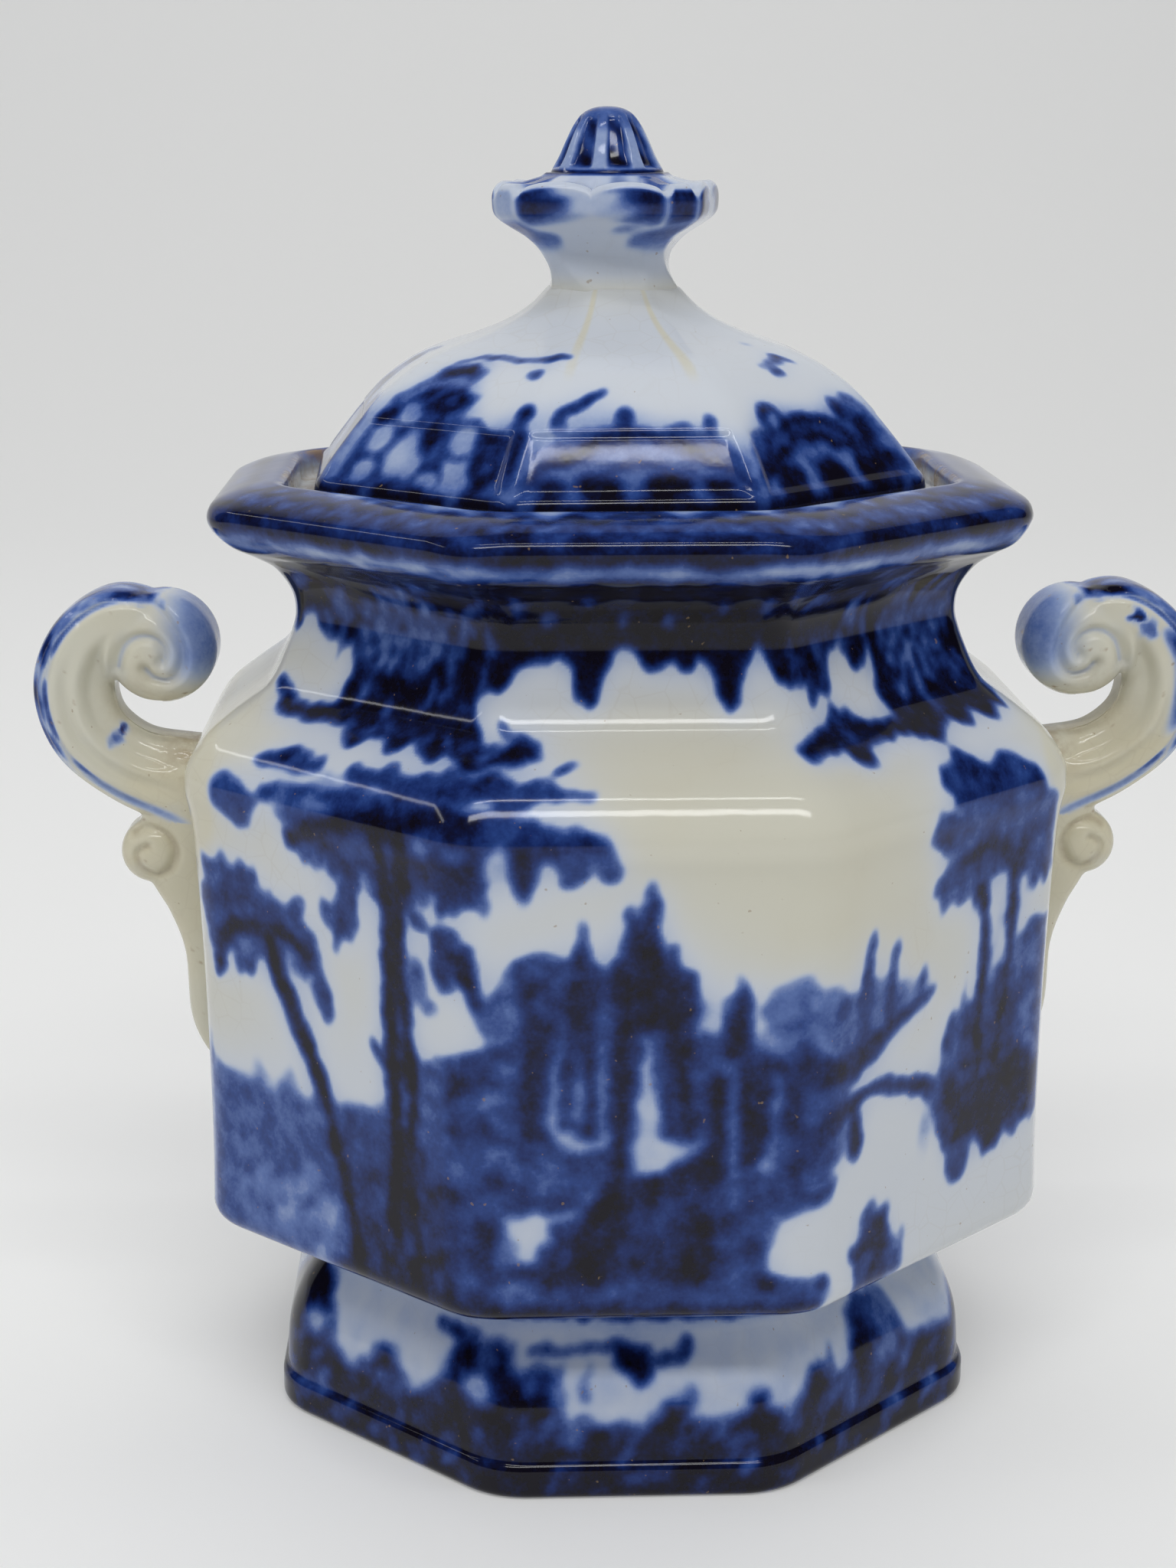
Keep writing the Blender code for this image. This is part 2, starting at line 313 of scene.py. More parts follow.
class Print:
    """Cobalt ink on one unrolled band: 0 is bare glaze and 1 is near black. Places are in millimetres."""

    def __init__(self, across, up, wobble, seed):
        self.across, self.up = np.asarray(across), np.asarray(up)
        x, y = np.meshgrid(self.across, self.up)
        self.x = x + wobble * (ripple(x, y, 4.4, seed) + 0.25 * ripple(x, y, 1.7, seed + 1))
        self.y = y + wobble * (ripple(x, y, 4.4, seed + 2) + 0.25 * ripple(x, y, 1.7, seed + 3))
        self.ink = np.zeros(x.shape)

    def window(self, xs, ys):
        """The part of the band that holds these places, and a margin for the wobble and the widest line."""
        columns = slice(*np.searchsorted(self.across, (min(xs) - MARGIN, max(xs) + MARGIN)))
        rows = slice(*np.searchsorted(self.up, (min(ys) - MARGIN, max(ys) + MARGIN)))
        return rows, columns

    def lay(self, where, inside, level, soft):
        """Paints over what is there, with an edge this soft. `inside` is the distance inside the shape."""
        cover = smooth(inside, -BLEED * soft, BLEED * soft)
        self.ink[where] += (level - self.ink[where]) * cover

    def blot(self, x, y, wide, high, level, soft=1.0, tilt=0.0):
        """An oval with these half sizes, turned by `tilt` degrees."""
        reach = max(wide, high)
        where = self.window((x - reach, x + reach), (y - reach, y + reach))
        turn = math.radians(tilt)
        dx, dy = self.x[where] - x, self.y[where] - y
        along = (dx * math.cos(turn) + dy * math.sin(turn)) / wide
        over = (dy * math.cos(turn) - dx * math.sin(turn)) / high
        inside = (1 - np.hypot(along, over)) * min(wide, high)
        self.lay(where, inside, level, soft)

    def line(self, points, level, soft=0.8, bend=4):
        """A brush line through (across, up, half width) points."""
        points = curve(points, bend) if bend else np.array(points, float)
        where = self.window(points[:, 0], points[:, 1])
        x, y = self.x[where], self.y[where]
        inside = np.full(x.shape, -9.0)
        for (*_, aw), (*_, bw), (gap, share) in zip(points, points[1:], stretch_gaps(x, y, points)):
            inside = np.maximum(inside, aw + share * (bw - aw) - gap)
        self.lay(where, inside, level, soft)

    def patch(self, outline, level, soft=1.0, bend=0):
        """A filled outline, drawn in a little because its edge bleeds."""
        points = np.array(outline, float)
        if bend:
            points = curve([*outline, outline[0]], bend)[:-1]
        where = self.window(points[:, 0], points[:, 1])
        x, y = self.x[where], self.y[where]
        inside = np.zeros(x.shape, bool)
        edge = np.full(x.shape, 1e9)
        ring = [*points, points[0]]
        for (ax, ay), (bx, by), (gap, _) in zip(ring, ring[1:], stretch_gaps(x, y, ring)):
            edge = np.minimum(edge, gap)
            if ay != by:
                inside ^= ((ay > y) != (by > y)) & (x < (bx - ax) * (y - ay) / (by - ay) + ax)
        self.lay(where, np.where(inside, edge, -edge) - DRAWN_IN, level, soft)

    def dabs(self, box, count, size, levels, seed, soft=0.8, tilt=(0, 180), long=1.6, only=0.0):
        """Many small strokes in a box, kept to where there is more ink than `only`."""
        random = np.random.default_rng(seed)
        left, low, right, high = box
        for _ in range(count):
            x, y = random.uniform(left, right), random.uniform(low, high)
            wide = size * random.uniform(0.6, 1.4)
            level = random.uniform(*levels)
            lean = random.uniform(*tilt)
            if only and self.ink_at(x, y) < only:
                continue
            self.blot(x, y, wide * long, wide, level, soft, lean)

    def ink_at(self, x, y):
        """The ink laid so far at this place."""
        column = min(np.searchsorted(self.across, x), len(self.across) - 1)
        row = min(np.searchsorted(self.up, y), len(self.up) - 1)
        return self.ink[row, column]

    def leaves(self, x, y, wide, high, level, seed, size, count, droop):
        """A clump of foliage: a soft body with leaf tips round its edge, leaning towards `droop` degrees."""
        self.blot(x, y, wide, high, level, 1.6)
        random = np.random.default_rng(seed)
        for i in range(count):
            angle = math.tau * (i + random.uniform(-0.3, 0.3)) / count
            place = random.uniform(0.72, 1.0)
            lean = math.degrees(angle) * 0.35 + droop + random.uniform(-25, 25)
            px, py = x + wide * place * math.cos(angle), y + high * place * math.sin(angle)
            tone = level + random.uniform(-0.12, 0.14)
            self.blot(px, py, size * 1.5, size * 0.75, tone, 0.8, lean)


# ---------------------------------------------------------------- the bowl's landscape print


def paint_wall(ink):
    """A park landscape with trees, towers and a footbridge, and a floral border round the neck."""
    paint_distance(ink)
    paint_hill(ink)
    paint_openings(ink)
    paint_ground(ink)
    paint_towers(ink)
    paint_footbridge(ink)
    paint_tall_tree(ink)
    paint_leaning_tree(ink)
    paint_right_trees(ink)
    paint_neck_border(ink)


def paint_distance(ink):
    """Hazy far bank on the left, with faint buildings, and hazy bushes behind the towers."""
    bank = [(-84, 60), (-80, 66), (-79, 61), (-74, 61), (-70, 59.5), (-67, 63.5), (-64.5, 60), (-60, 64),
            (-58, 60), (-53, 60), (-47, 62), (-41, 61.5), (-36, 62), (-30, 33), (-80, 32), (-83, 36)]
    ink.patch(bank, 0.42, 3.4)
    ink.patch([(-61, 60), (-54, 59), (-45, 61), (-36, 61), (-30, 34), (-54, 34), (-60, 44), (-60, 52)],
              0.64, 4.0, 2)
    for x in (-76, -72.5, -69):
        ink.line([(x, 58, 0.5), (x + 0.3, 55, 0.5)], 0.66, 0.8)
        ink.line([(x + 1, 52.5, 0.5), (x + 1.4, 49.5, 0.5)], 0.62, 0.8)
    ink.line([(-80, 53.8, 0.6), (-66, 52.8, 0.5)], 0.6, 1.0)
    ink.line([(-81, 57, 0.5), (-66, 56.2, 0.5)], 0.58, 1.0)
    ink.line([(-79.6, 67, 0.2), (-79.6, 60, 0.9)], 0.55, 0.9)
    ink.dabs((-80, 34, -50, 60), 90, 1.5, (0.38, 0.62), 11, 1.6, long=1.8, only=0.3)
    ink.dabs((-72, 35, -50, 47), 18, 1.1, (0.2, 0.34), 12, 1.2, (30, 75), 2.6, only=0.3)
    ink.dabs((-52, 36, -37, 58), 26, 1.8, (0.55, 0.8), 13, 1.8, only=0.3)
    places = ((-14.5, 83, 5.6, 6.0, 0.5), (-10, 81, 6, 7, 0.56), (-18, 79.5, 4.5, 4, 0.46),
              (21.5, 80, 4.0, 4.8, 0.36), (26.5, 78.5, 4.6, 4.6, 0.42), (22, 76.3, 5.5, 2.6, 0.4),
              (31.5, 76, 3.4, 5.0, 0.5))
    for x, y, wide, high, level in places:
        ink.leaves(x, y, wide, high, level, round(x * 7 + 900), 1.1, 14, 0)
    ink.patch([(6, 81), (8.5, 78), (12, 76), (17, 75), (26, 73), (30, 66), (10, 60), (5, 60)], 0.62, 1.8)
    ink.blot(8.9, 80.5, 1.6, 2.6, 0.22, 1.8)


def paint_hill(ink):
    """The mass that the towers stand on, with its rising left slope."""
    slope = [(-33.6, 71.2), (-29, 73), (-25, 74.4), (-19, 76.4), (-15.5, 79.2), (-12, 84.2), (-10, 86.6),
             (-6.4, 87.4), (-2, 87.6), (3, 89), (7.5, 85), (8, 75), (16.8, 74.2), (25, 72.4), (32, 69),
             (30.5, 58), (21, 55), (11, 52), (12, 34), (-33, 32), (-35, 50)]
    ink.patch(slope, 0.66, 1.5)
    ink.patch([(24, 71), (33, 69.5), (30.5, 63), (31, 58), (27, 54), (20, 53)], 0.62, 1.4)
    ink.patch([(-33, 71), (-26, 73), (-19.5, 72), (-19, 58), (-22, 52), (-31, 50)], 0.68, 2.2)
    ink.dabs((-32, 51, -14, 74), 90, 1.5, (0.42, 0.92), 21, 1.3, long=1.9, only=0.5)
    ink.dabs((8, 56, 30, 73), 60, 1.3, (0.42, 0.9), 22, 1.2, (70, 110), 2.2, only=0.5)
    ink.dabs((-16, 74, 8, 87), 50, 1.0, (0.5, 0.94), 23, 1.1, (70, 110), 2.8, only=0.5)
    ink.blot(-21.5, 67.6, 2.2, 1.1, 0.3, 1.4, 35)
    ink.blot(-30.3, 68.6, 2.0, 1.0, 0.3, 1.4)


def paint_openings(ink):
    """Pale gaps between the columns."""
    pale = 0.14
    ink.line([(-11.8, 73.5, 0.5), (-12.4, 68, 0.9), (-12.2, 64, 1.1), (-10, 61.4, 1.3), (-7, 60.8, 1.2),
              (-5, 62, 0.9)], pale + 0.06, 0.9)
    ink.line([(-5.2, 77, 0.2), (-5.6, 70, 0.8), (-5.4, 62.5, 0.8)], 0.3, 0.9)
    ink.line([(-9.2, 76, 0.2), (-8.6, 70, 0.7), (-8.8, 65, 0.7)], 0.36, 0.9)
    ink.line([(-10.6, 79, 0.3), (-10.2, 75.6, 0.5)], 0.42, 0.9)
    ink.line([(0.6, 78, 0.2), (0.8, 73, 0.9), (1.0, 66, 1.6), (1.2, 61, 2.0)], pale, 1.0)
    ink.patch([(-1.3, 63), (3.2, 62.5), (5.6, 60.8), (9.4, 61.2), (8.2, 59.2), (5, 57.6), (2.4, 55.4),
               (-1.8, 55)], pale, 1.3)
    ink.line([(-1.7, 74, 0.2), (-1.9, 66, 0.4), (-1.8, 57, 0.8), (-2.2, 54.6, 0.5)], 0.4, 0.9)
    ink.line([(13, 69, 0.3), (12.9, 64, 0.7), (12.9, 57, 0.5)], 0.34, 0.9)
    ink.line([(18.8, 71, 0.3), (18.9, 66, 0.8), (18.5, 60, 0.7)], 0.38, 0.9)
    ink.patch([(14.6, 57), (18.4, 59.4), (19.6, 58), (18.4, 55.6), (14.6, 55.2)], 0.2, 1.1)
    ink.line([(5.0, 73, 0.2), (4.9, 66, 0.4)], 0.45, 0.8)
    ink.line([(9.6, 70, 0.5), (9.6, 63, 0.7)], 0.62, 1.0)
    for x in np.arange(-14.4, -5.4, 1.1):
        ink.line([(x, 55.6, 0.3), (x, 54.0, 0.3)], 0.46, 0.6)
    ink.line([(-16.5, 53.6, 0.5), (-5.6, 53.2, 0.45)], 0.42, 0.9)
    ink.line([(-14.5, 57.2, 0.35), (-5.6, 57.4, 0.35)], 0.5, 0.8)


def paint_ground(ink):
    """Dark foreground with pale clearings, and mottled grass along the bottom edge."""
    ink.patch([(-32, 52), (-20, 53), (-12, 51.5), (-5, 49), (-9, 36), (-32, 34)], 0.72, 1.8)
    ink.patch([(-6, 55), (1, 56.5), (4, 57), (7.5, 59.6), (11.6, 60.6), (11.8, 50), (13, 44), (11, 37.5),
               (-9.5, 37.5), (-11.6, 44), (-9, 48.5)], 0.97, 1.4)
    ink.patch([(11, 55), (18, 54.4), (25, 53.5), (30, 54), (27, 50), (19, 48), (18.4, 41), (27, 39.4),
               (27, 35), (10, 35)], 0.68, 1.5)
    ink.dabs((-31, 35, -10, 52), 90, 1.5, (0.55, 0.97), 31, 1.5, long=1.5, only=0.4)
    ink.dabs((10, 36, 27, 54), 46, 1.5, (0.5, 0.85), 32, 1.6, long=1.5, only=0.4)
    ink.dabs((-8, 41, 11, 56), 16, 1.5, (0.72, 0.86), 33, 1.8, long=1.4, only=0.7)
    ink.blot(2.6, 47.4, 2.6, 1.8, 0.66, 1.8)
    ink.blot(13.5, 52.6, 1.2, 1.8, 0.42, 1.2)
    ink.patch([(-20, 50.5), (-14.5, 51.6), (-12, 50.4), (-8.6, 50.8), (-9, 49.4), (-12.2, 48.4),
               (-13.4, 45), (-14, 42.6), (-16.4, 41.8), (-19.6, 43.4), (-19.8, 47)], 0.1, 1.4)
    ink.blot(-19.3, 45, 1.6, 2.6, 0.46, 1.4)
    ink.patch([(18.8, 49.6), (25, 51), (34, 52.4), (50, 53), (50, 36), (30, 38), (27, 40.6), (19.8, 41.6)],
              0.03, 2.0)
    ink.dabs((-24, 34, 24, 38.6), 60, 1.2, (0.45, 0.8), 34, 1.2, (-20, 20), 1.9)
    ink.line([(-50, 35.4, 0.9), (-26, 34.8, 1.3), (0, 34.8, 1.0), (26, 34.8, 1.0)], 0.97, 1.4)
    ink.blot(-18.4, 38.9, 2.4, 0.9, 0.4, 1.2)
    ink.blot(-4.6, 38.6, 2.6, 1.0, 0.5, 1.3)
    ink.blot(26.8, 38.4, 1.4, 0.7, 0.9, 0.9, 10)
    ink.patch([(33.4, 34), (34, 41), (35, 46), (37, 48), (39, 46.4), (41, 47.6), (41.6, 43), (43, 41),
               (43.6, 34)], 0.72, 1.3, 2)
    ink.dabs((34.6, 34, 42.8, 46), 22, 0.9, (0.55, 0.96), 35, 0.9, (60, 120), 2.3, only=0.3)
    ink.line([(44.5, 42, 0.4), (44.0, 35, 0.8)], 0.6, 0.9)


def spire(ink, x, top, foot, half, level):
    """A tapering tower with a ragged outline."""
    ink.line([(x, top, 0.15), (x + 0.1, top - 3, half * 0.42), (x, top - 7, half * 0.8), (x, foot, half)],
             level, 1.0)


def paint_towers(ink):
    """Dark towers and columns of different heights."""
    spire(ink, -8.2, 94.4, 78, 1.9, 0.88)
    ink.patch([(-10.4, 88), (-6, 88), (-6.8, 74), (-10, 74)], 0.86, 1.2)
    ink.line([(1.2, 100, 0.2), (1.3, 96, 1.0), (0.8, 91, 2.0), (0.8, 82, 2.3), (0.6, 79, 1.6)], 0.92, 1.0)
    ink.line([(-1.4, 95.4, 0.6), (-1.3, 91, 1.0), (-1.3, 84, 1.3)], 0.86, 1.0)
    ink.line([(-3, 87, 1.3), (-2.7, 78, 1.4), (-2.9, 62, 1.2), (-3, 56, 1.0)], 0.93, 1.0)
    ink.line([(-14.4, 80, 1.0), (-15, 72, 1.4), (-15.6, 62, 1.3)], 0.9, 1.2)
    ink.line([(-7.1, 76, 0.5), (-7.1, 70, 0.6), (-7.3, 63, 0.6)], 0.93, 0.9)
    ink.line([(-10.7, 73, 0.5), (-10.5, 67, 0.6), (-10.7, 64, 0.5)], 0.82, 0.9)
    spire(ink, 4.5, 90, 80, 1.5, 0.9)
    ink.line([(6.6, 86.4, 0.5), (6.7, 82, 1.1), (6.4, 75, 1.1)], 0.88, 1.0)
    ink.line([(4.4, 84, 1.2), (4.2, 76, 1.4), (6.2, 68, 1.3), (6.6, 62.5, 1.0)], 0.93, 1.0)
    ink.line([(3.7, 70, 0.5), (3.8, 62, 0.5)], 0.85, 0.8)
    spire(ink, 13.9, 86, 75, 1.9, 0.9)
    ink.line([(11.9, 82, 0.5), (12, 77, 0.9)], 0.78, 1.0)
    ink.line([(14.6, 72, 0.8), (15.1, 65, 1.1), (15.0, 57.5, 0.9)], 0.94, 1.0)
    ink.line([(17.3, 71, 0.8), (17.2, 60, 0.9)], 0.93, 0.9)
    ink.line([(10.9, 71, 1.2), (10.9, 64, 1.3), (11, 56, 0.9)], 0.92, 1.1)
    ink.line([(21.5, 70, 1.4), (22, 62, 1.0)], 0.86, 1.6)


def paint_footbridge(ink):
    """A rising rail with saplings on the right, and a bowed bridge on one pier."""
    ink.patch([(32, 80), (35, 84), (39, 82), (44, 81), (49, 80), (48, 76.4), (40, 73.4), (32, 71)],
              0.3, 1.6)
    ink.dabs((33, 73, 48, 82), 16, 0.9, (0.34, 0.5), 41, 1.0, (60, 100), 2.2, only=0.2)
    ink.line([(24, 71.4, 2.2), (30, 70.4, 2.2), (35, 71.4, 2.0), (41, 74.2, 1.5), (47, 76.4, 1.0),
              (50, 78, 0.4)], 0.84, 1.0)
    for x, y, top, half in ((34.8, 75, 90, 1.4), (40.4, 76, 87.4, 1.1), (47.3, 77, 81.5, 0.7)):
        ink.line([(x + 0.6, top, 0.25), (x + 0.2, top - 4, half * 0.8), (x - 0.4, y, half)], 0.76, 1.0)
    ink.line([(36.4, 81, 0.3), (37.8, 79, 0.5)], 0.6, 0.8)
    ink.line([(24, 61, 1.5), (29, 62.8, 1.3), (34, 65.2, 1.2), (40, 65.4, 1.1), (46, 63.8, 1.2),
              (51, 62, 1.6)], 0.82, 0.9)
    ink.line([(33.1, 64.6, 1.2), (33.2, 60, 1.2), (33.3, 56.4, 1.3)], 0.88, 0.9)
    ink.patch([(24, 61), (31, 61), (31, 58.6), (27.4, 56.6), (29.6, 53.6), (24, 53)], 0.66, 1.3)
    ink.line([(29.2, 60.4, 0.5), (29.4, 57.4, 0.6)], 0.36, 0.9)


def paint_tall_tree(ink):
    """A tall tree whose layered canopy spreads over the shoulder and hangs down in fans of leaves."""
    ink.line([(-66.5, 110.4, 0.4), (-63, 110.8, 0.9), (-58, 111.2, 1.2), (-54.5, 111.2, 1.0)], 0.72, 0.9)
    ink.line([(-47.5, 111, 0.5), (-42, 111.2, 1.0), (-35, 111.6, 1.2), (-28, 112, 1.3), (-24, 112.2, 1.4),
              (-20, 111.9, 1.3), (-14, 111.4, 0.8), (-7, 111, 0.4)], 0.76, 0.9)
    ink.patch([(-64, 107.6), (-52, 109.2), (-40, 109.6), (-28, 109.8), (-20, 109.6), (-15.4, 108.6),
               (-8, 107.4), (-3, 103.8), (-2.3, 100), (-4.4, 99.4), (-6.4, 102), (-8.4, 99), (-10.6, 98.8),
               (-12.6, 102.4), (-14.2, 98.4), (-16, 96.2), (-17.6, 98.6), (-18, 104), (-20.4, 105),
               (-21.4, 97.6), (-22.8, 95.8), (-25, 97), (-26.6, 95.4), (-29, 96.8), (-32, 97.4), (-34, 94),
               (-41, 94), (-43, 97), (-44, 94.4), (-44.6, 89), (-46, 87), (-47.2, 88), (-49, 83.6),
               (-50, 87.6), (-51.8, 88.6), (-51.4, 91), (-48.4, 93.6), (-50, 96.4), (-50.6, 99.6),
               (-53, 98.4), (-54.4, 95.2), (-56, 98.6), (-58.6, 98.6), (-58, 101.4), (-56, 104.4),
               (-60, 104.8), (-62.6, 105)], 0.66, 0.9, 2)
    ink.patch([(-73.4, 105.4), (-73, 107.8), (-70, 108.6), (-67.4, 107.4), (-65, 106), (-62.6, 107),
               (-63.4, 103.6), (-66, 100.4), (-68.4, 99.8), (-70, 101.4), (-72.6, 102.4)], 0.64, 0.9, 2)
    clumps = (((-62, 103, -6, 109.4), 60, (0.56, 0.86), 101), ((-58, 84, -42, 103), 46, (0.5, 0.8), 102),
              ((-34, 96, -2, 106), 40, (0.62, 0.9), 103), ((-64, 110, -8, 112.6), 30, (0.6, 0.9), 104))
    for box, count, levels, seed in clumps:
        tilt = (-20, 20) if box[1] > 102 else (60, 110)
        ink.dabs(box, count, 0.9, levels, seed, 0.8, tilt, 2.6, only=0.45)
    ink.line([(-23, 108.4, 0.8), (-30, 108.2, 1.1), (-37, 106.4, 1.5), (-45, 105.2, 1.4), (-52, 102.6, 1.5),
              (-56.5, 100.4, 0.9)], 0.93, 1.2)
    ink.patch([(-33, 102.4), (-28, 103.4), (-22.4, 104.8), (-21.8, 97.6), (-23, 96.4), (-25, 97.8),
               (-26.6, 96.2), (-30, 98), (-33, 99)], 0.86, 1.2, 2)
    ink.blot(-16, 101.6, 1.3, 4.2, 0.9, 1.2)
    ink.blot(-49.8, 101, 2.6, 1.6, 0.88, 1.4)
    places = ((-58.4, 106.2, 0.5, 1.4), (-31.4, 104, 2.4, 1.2), (-50, 110, 3, 0.5), (-38, 103, 1.2, 3),
              (-52, 106.4, 3.6, 0.9), (-19.4, 102, 0.8, 2.4), (-25.6, 103.6, 1.4, 0.8))
    for x, y, wide, high in places:
        ink.blot(x, y, wide, high, 0.3, 1.4)
    ink.patch([(-30.6, 92.6), (-26, 93), (-24, 91), (-22.4, 88), (-21.8, 82), (-22.8, 80), (-24.4, 81.4),
               (-25.4, 85), (-26.4, 83.4), (-28.8, 82.6), (-30, 86)], 0.74, 0.9, 2)
    ink.line([(-25.4, 89, 0.8), (-24, 85, 1.1), (-23, 81.6, 0.6)], 0.95, 0.9)
    ink.blot(-32.6, 93, 1.8, 1.1, 0.76, 1.0, -20)
    ink.blot(-33.4, 83.6, 2.0, 3.4, 0.46, 1.6)
    ink.blot(-31, 80.4, 1.2, 1.7, 0.42, 1.2)
    stem = [(-37.2, 106, 4.0), (-37.0, 100, 3.4), (-37.4, 93, 2.4), (-37.6, 85, 2.3), (-37.4, 78, 2.9),
            (-37.0, 72, 3.3), (-36.6, 66, 3.4), (-36.8, 58, 2.9), (-37.0, 50, 3.3), (-37.0, 43, 4.6),
            (-37, 34, 7.4)]
    ink.line(stem, 0.8, 1.0)
    for shift, share in ((-1, 0.56), (1, 0.5)):
        ink.line([(x + shift * half * 0.46, y, half * share * 0.7) for x, y, half in stem], 1.0, 0.9)
    ink.line([(-37.2, 98, 0.4), (-37.6, 103, 0.9)], 0.62, 1.2)
    ink.line([(-37, 78.6, 0.15), (-37, 75, 0.35), (-36.6, 71, 0.2)], 0.4, 0.8)
    ink.line([(-36.6, 68, 0.15), (-36.2, 64.4, 0.45), (-36.4, 61, 0.2)], 0.34, 0.8)
    ink.line([(-42.4, 73, 0.3), (-41.4, 70.6, 0.9), (-39.6, 69, 0.7)], 0.84, 0.9)
    ink.dabs((-46, 34, -28, 44), 34, 1.2, (0.72, 1.0), 51, 1.0, (50, 130), 1.9)


def paint_leaning_tree(ink):
    """A small leaning tree on the left with drooping fronds."""
    ink.patch([(-79.4, 86), (-79, 89), (-77.6, 90), (-77, 93), (-73, 94.4), (-70, 94), (-67.6, 93.8),
               (-65.2, 92.8), (-64, 91), (-60, 90), (-58.6, 88.6), (-55.4, 88.4), (-53.6, 86.4),
               (-52.4, 83), (-50.9, 79), (-50.3, 75), (-51.8, 72.4), (-53.8, 75), (-54.8, 79),
               (-56.2, 77.8), (-57.4, 79.4), (-59.6, 81), (-62, 80), (-64, 80.6), (-66.2, 79),
               (-67.4, 75.6), (-69, 77.8), (-71, 78), (-72.2, 80), (-74, 76.6), (-75.6, 75.4), (-76.2, 79),
               (-77.6, 81)], 0.66, 0.9, 2)
    ink.dabs((-79, 76, -51, 95), 70, 1.1, (0.5, 0.76), 105, 1.0, (30, 110), 2.2, only=0.45)
    ink.blot(-68.6, 81.8, 1.8, 0.8, 0.36, 1.0)
    ink.blot(-58.8, 80.4, 0.8, 2.0, 0.2, 1.0, 30)
    ink.blot(-55.2, 77.6, 0.5, 1.8, 0.2, 0.9, 20)
    ink.line([(-75, 76.6, 0.9), (-74, 80.6, 1.4), (-71, 84.2, 1.2), (-67, 85.4, 1.2), (-62.6, 85, 1.5),
              (-58, 84.8, 1.2), (-55, 82.4, 0.9)], 0.93, 1.1)
    trunk = [(-63.6, 84, 1.2), (-62, 79, 1.4), (-60, 75, 1.5), (-57.4, 70, 1.5), (-54.4, 64.6, 1.3),
             (-52.2, 59, 1.2), (-50.4, 53, 1.1), (-48.6, 48, 1.2), (-47, 42, 1.4), (-46, 35, 1.6)]
    ink.line([(x, y, half + 0.4) for x, y, half in trunk], 0.7, 1.2)
    ink.line([(x, y, half * 0.8) for x, y, half in trunk], 1.0, 0.8)
    ink.line([(-59.4, 74, 0.4), (-58.6, 69.6, 0.9), (-57, 67.6, 0.4)], 0.8, 0.9)


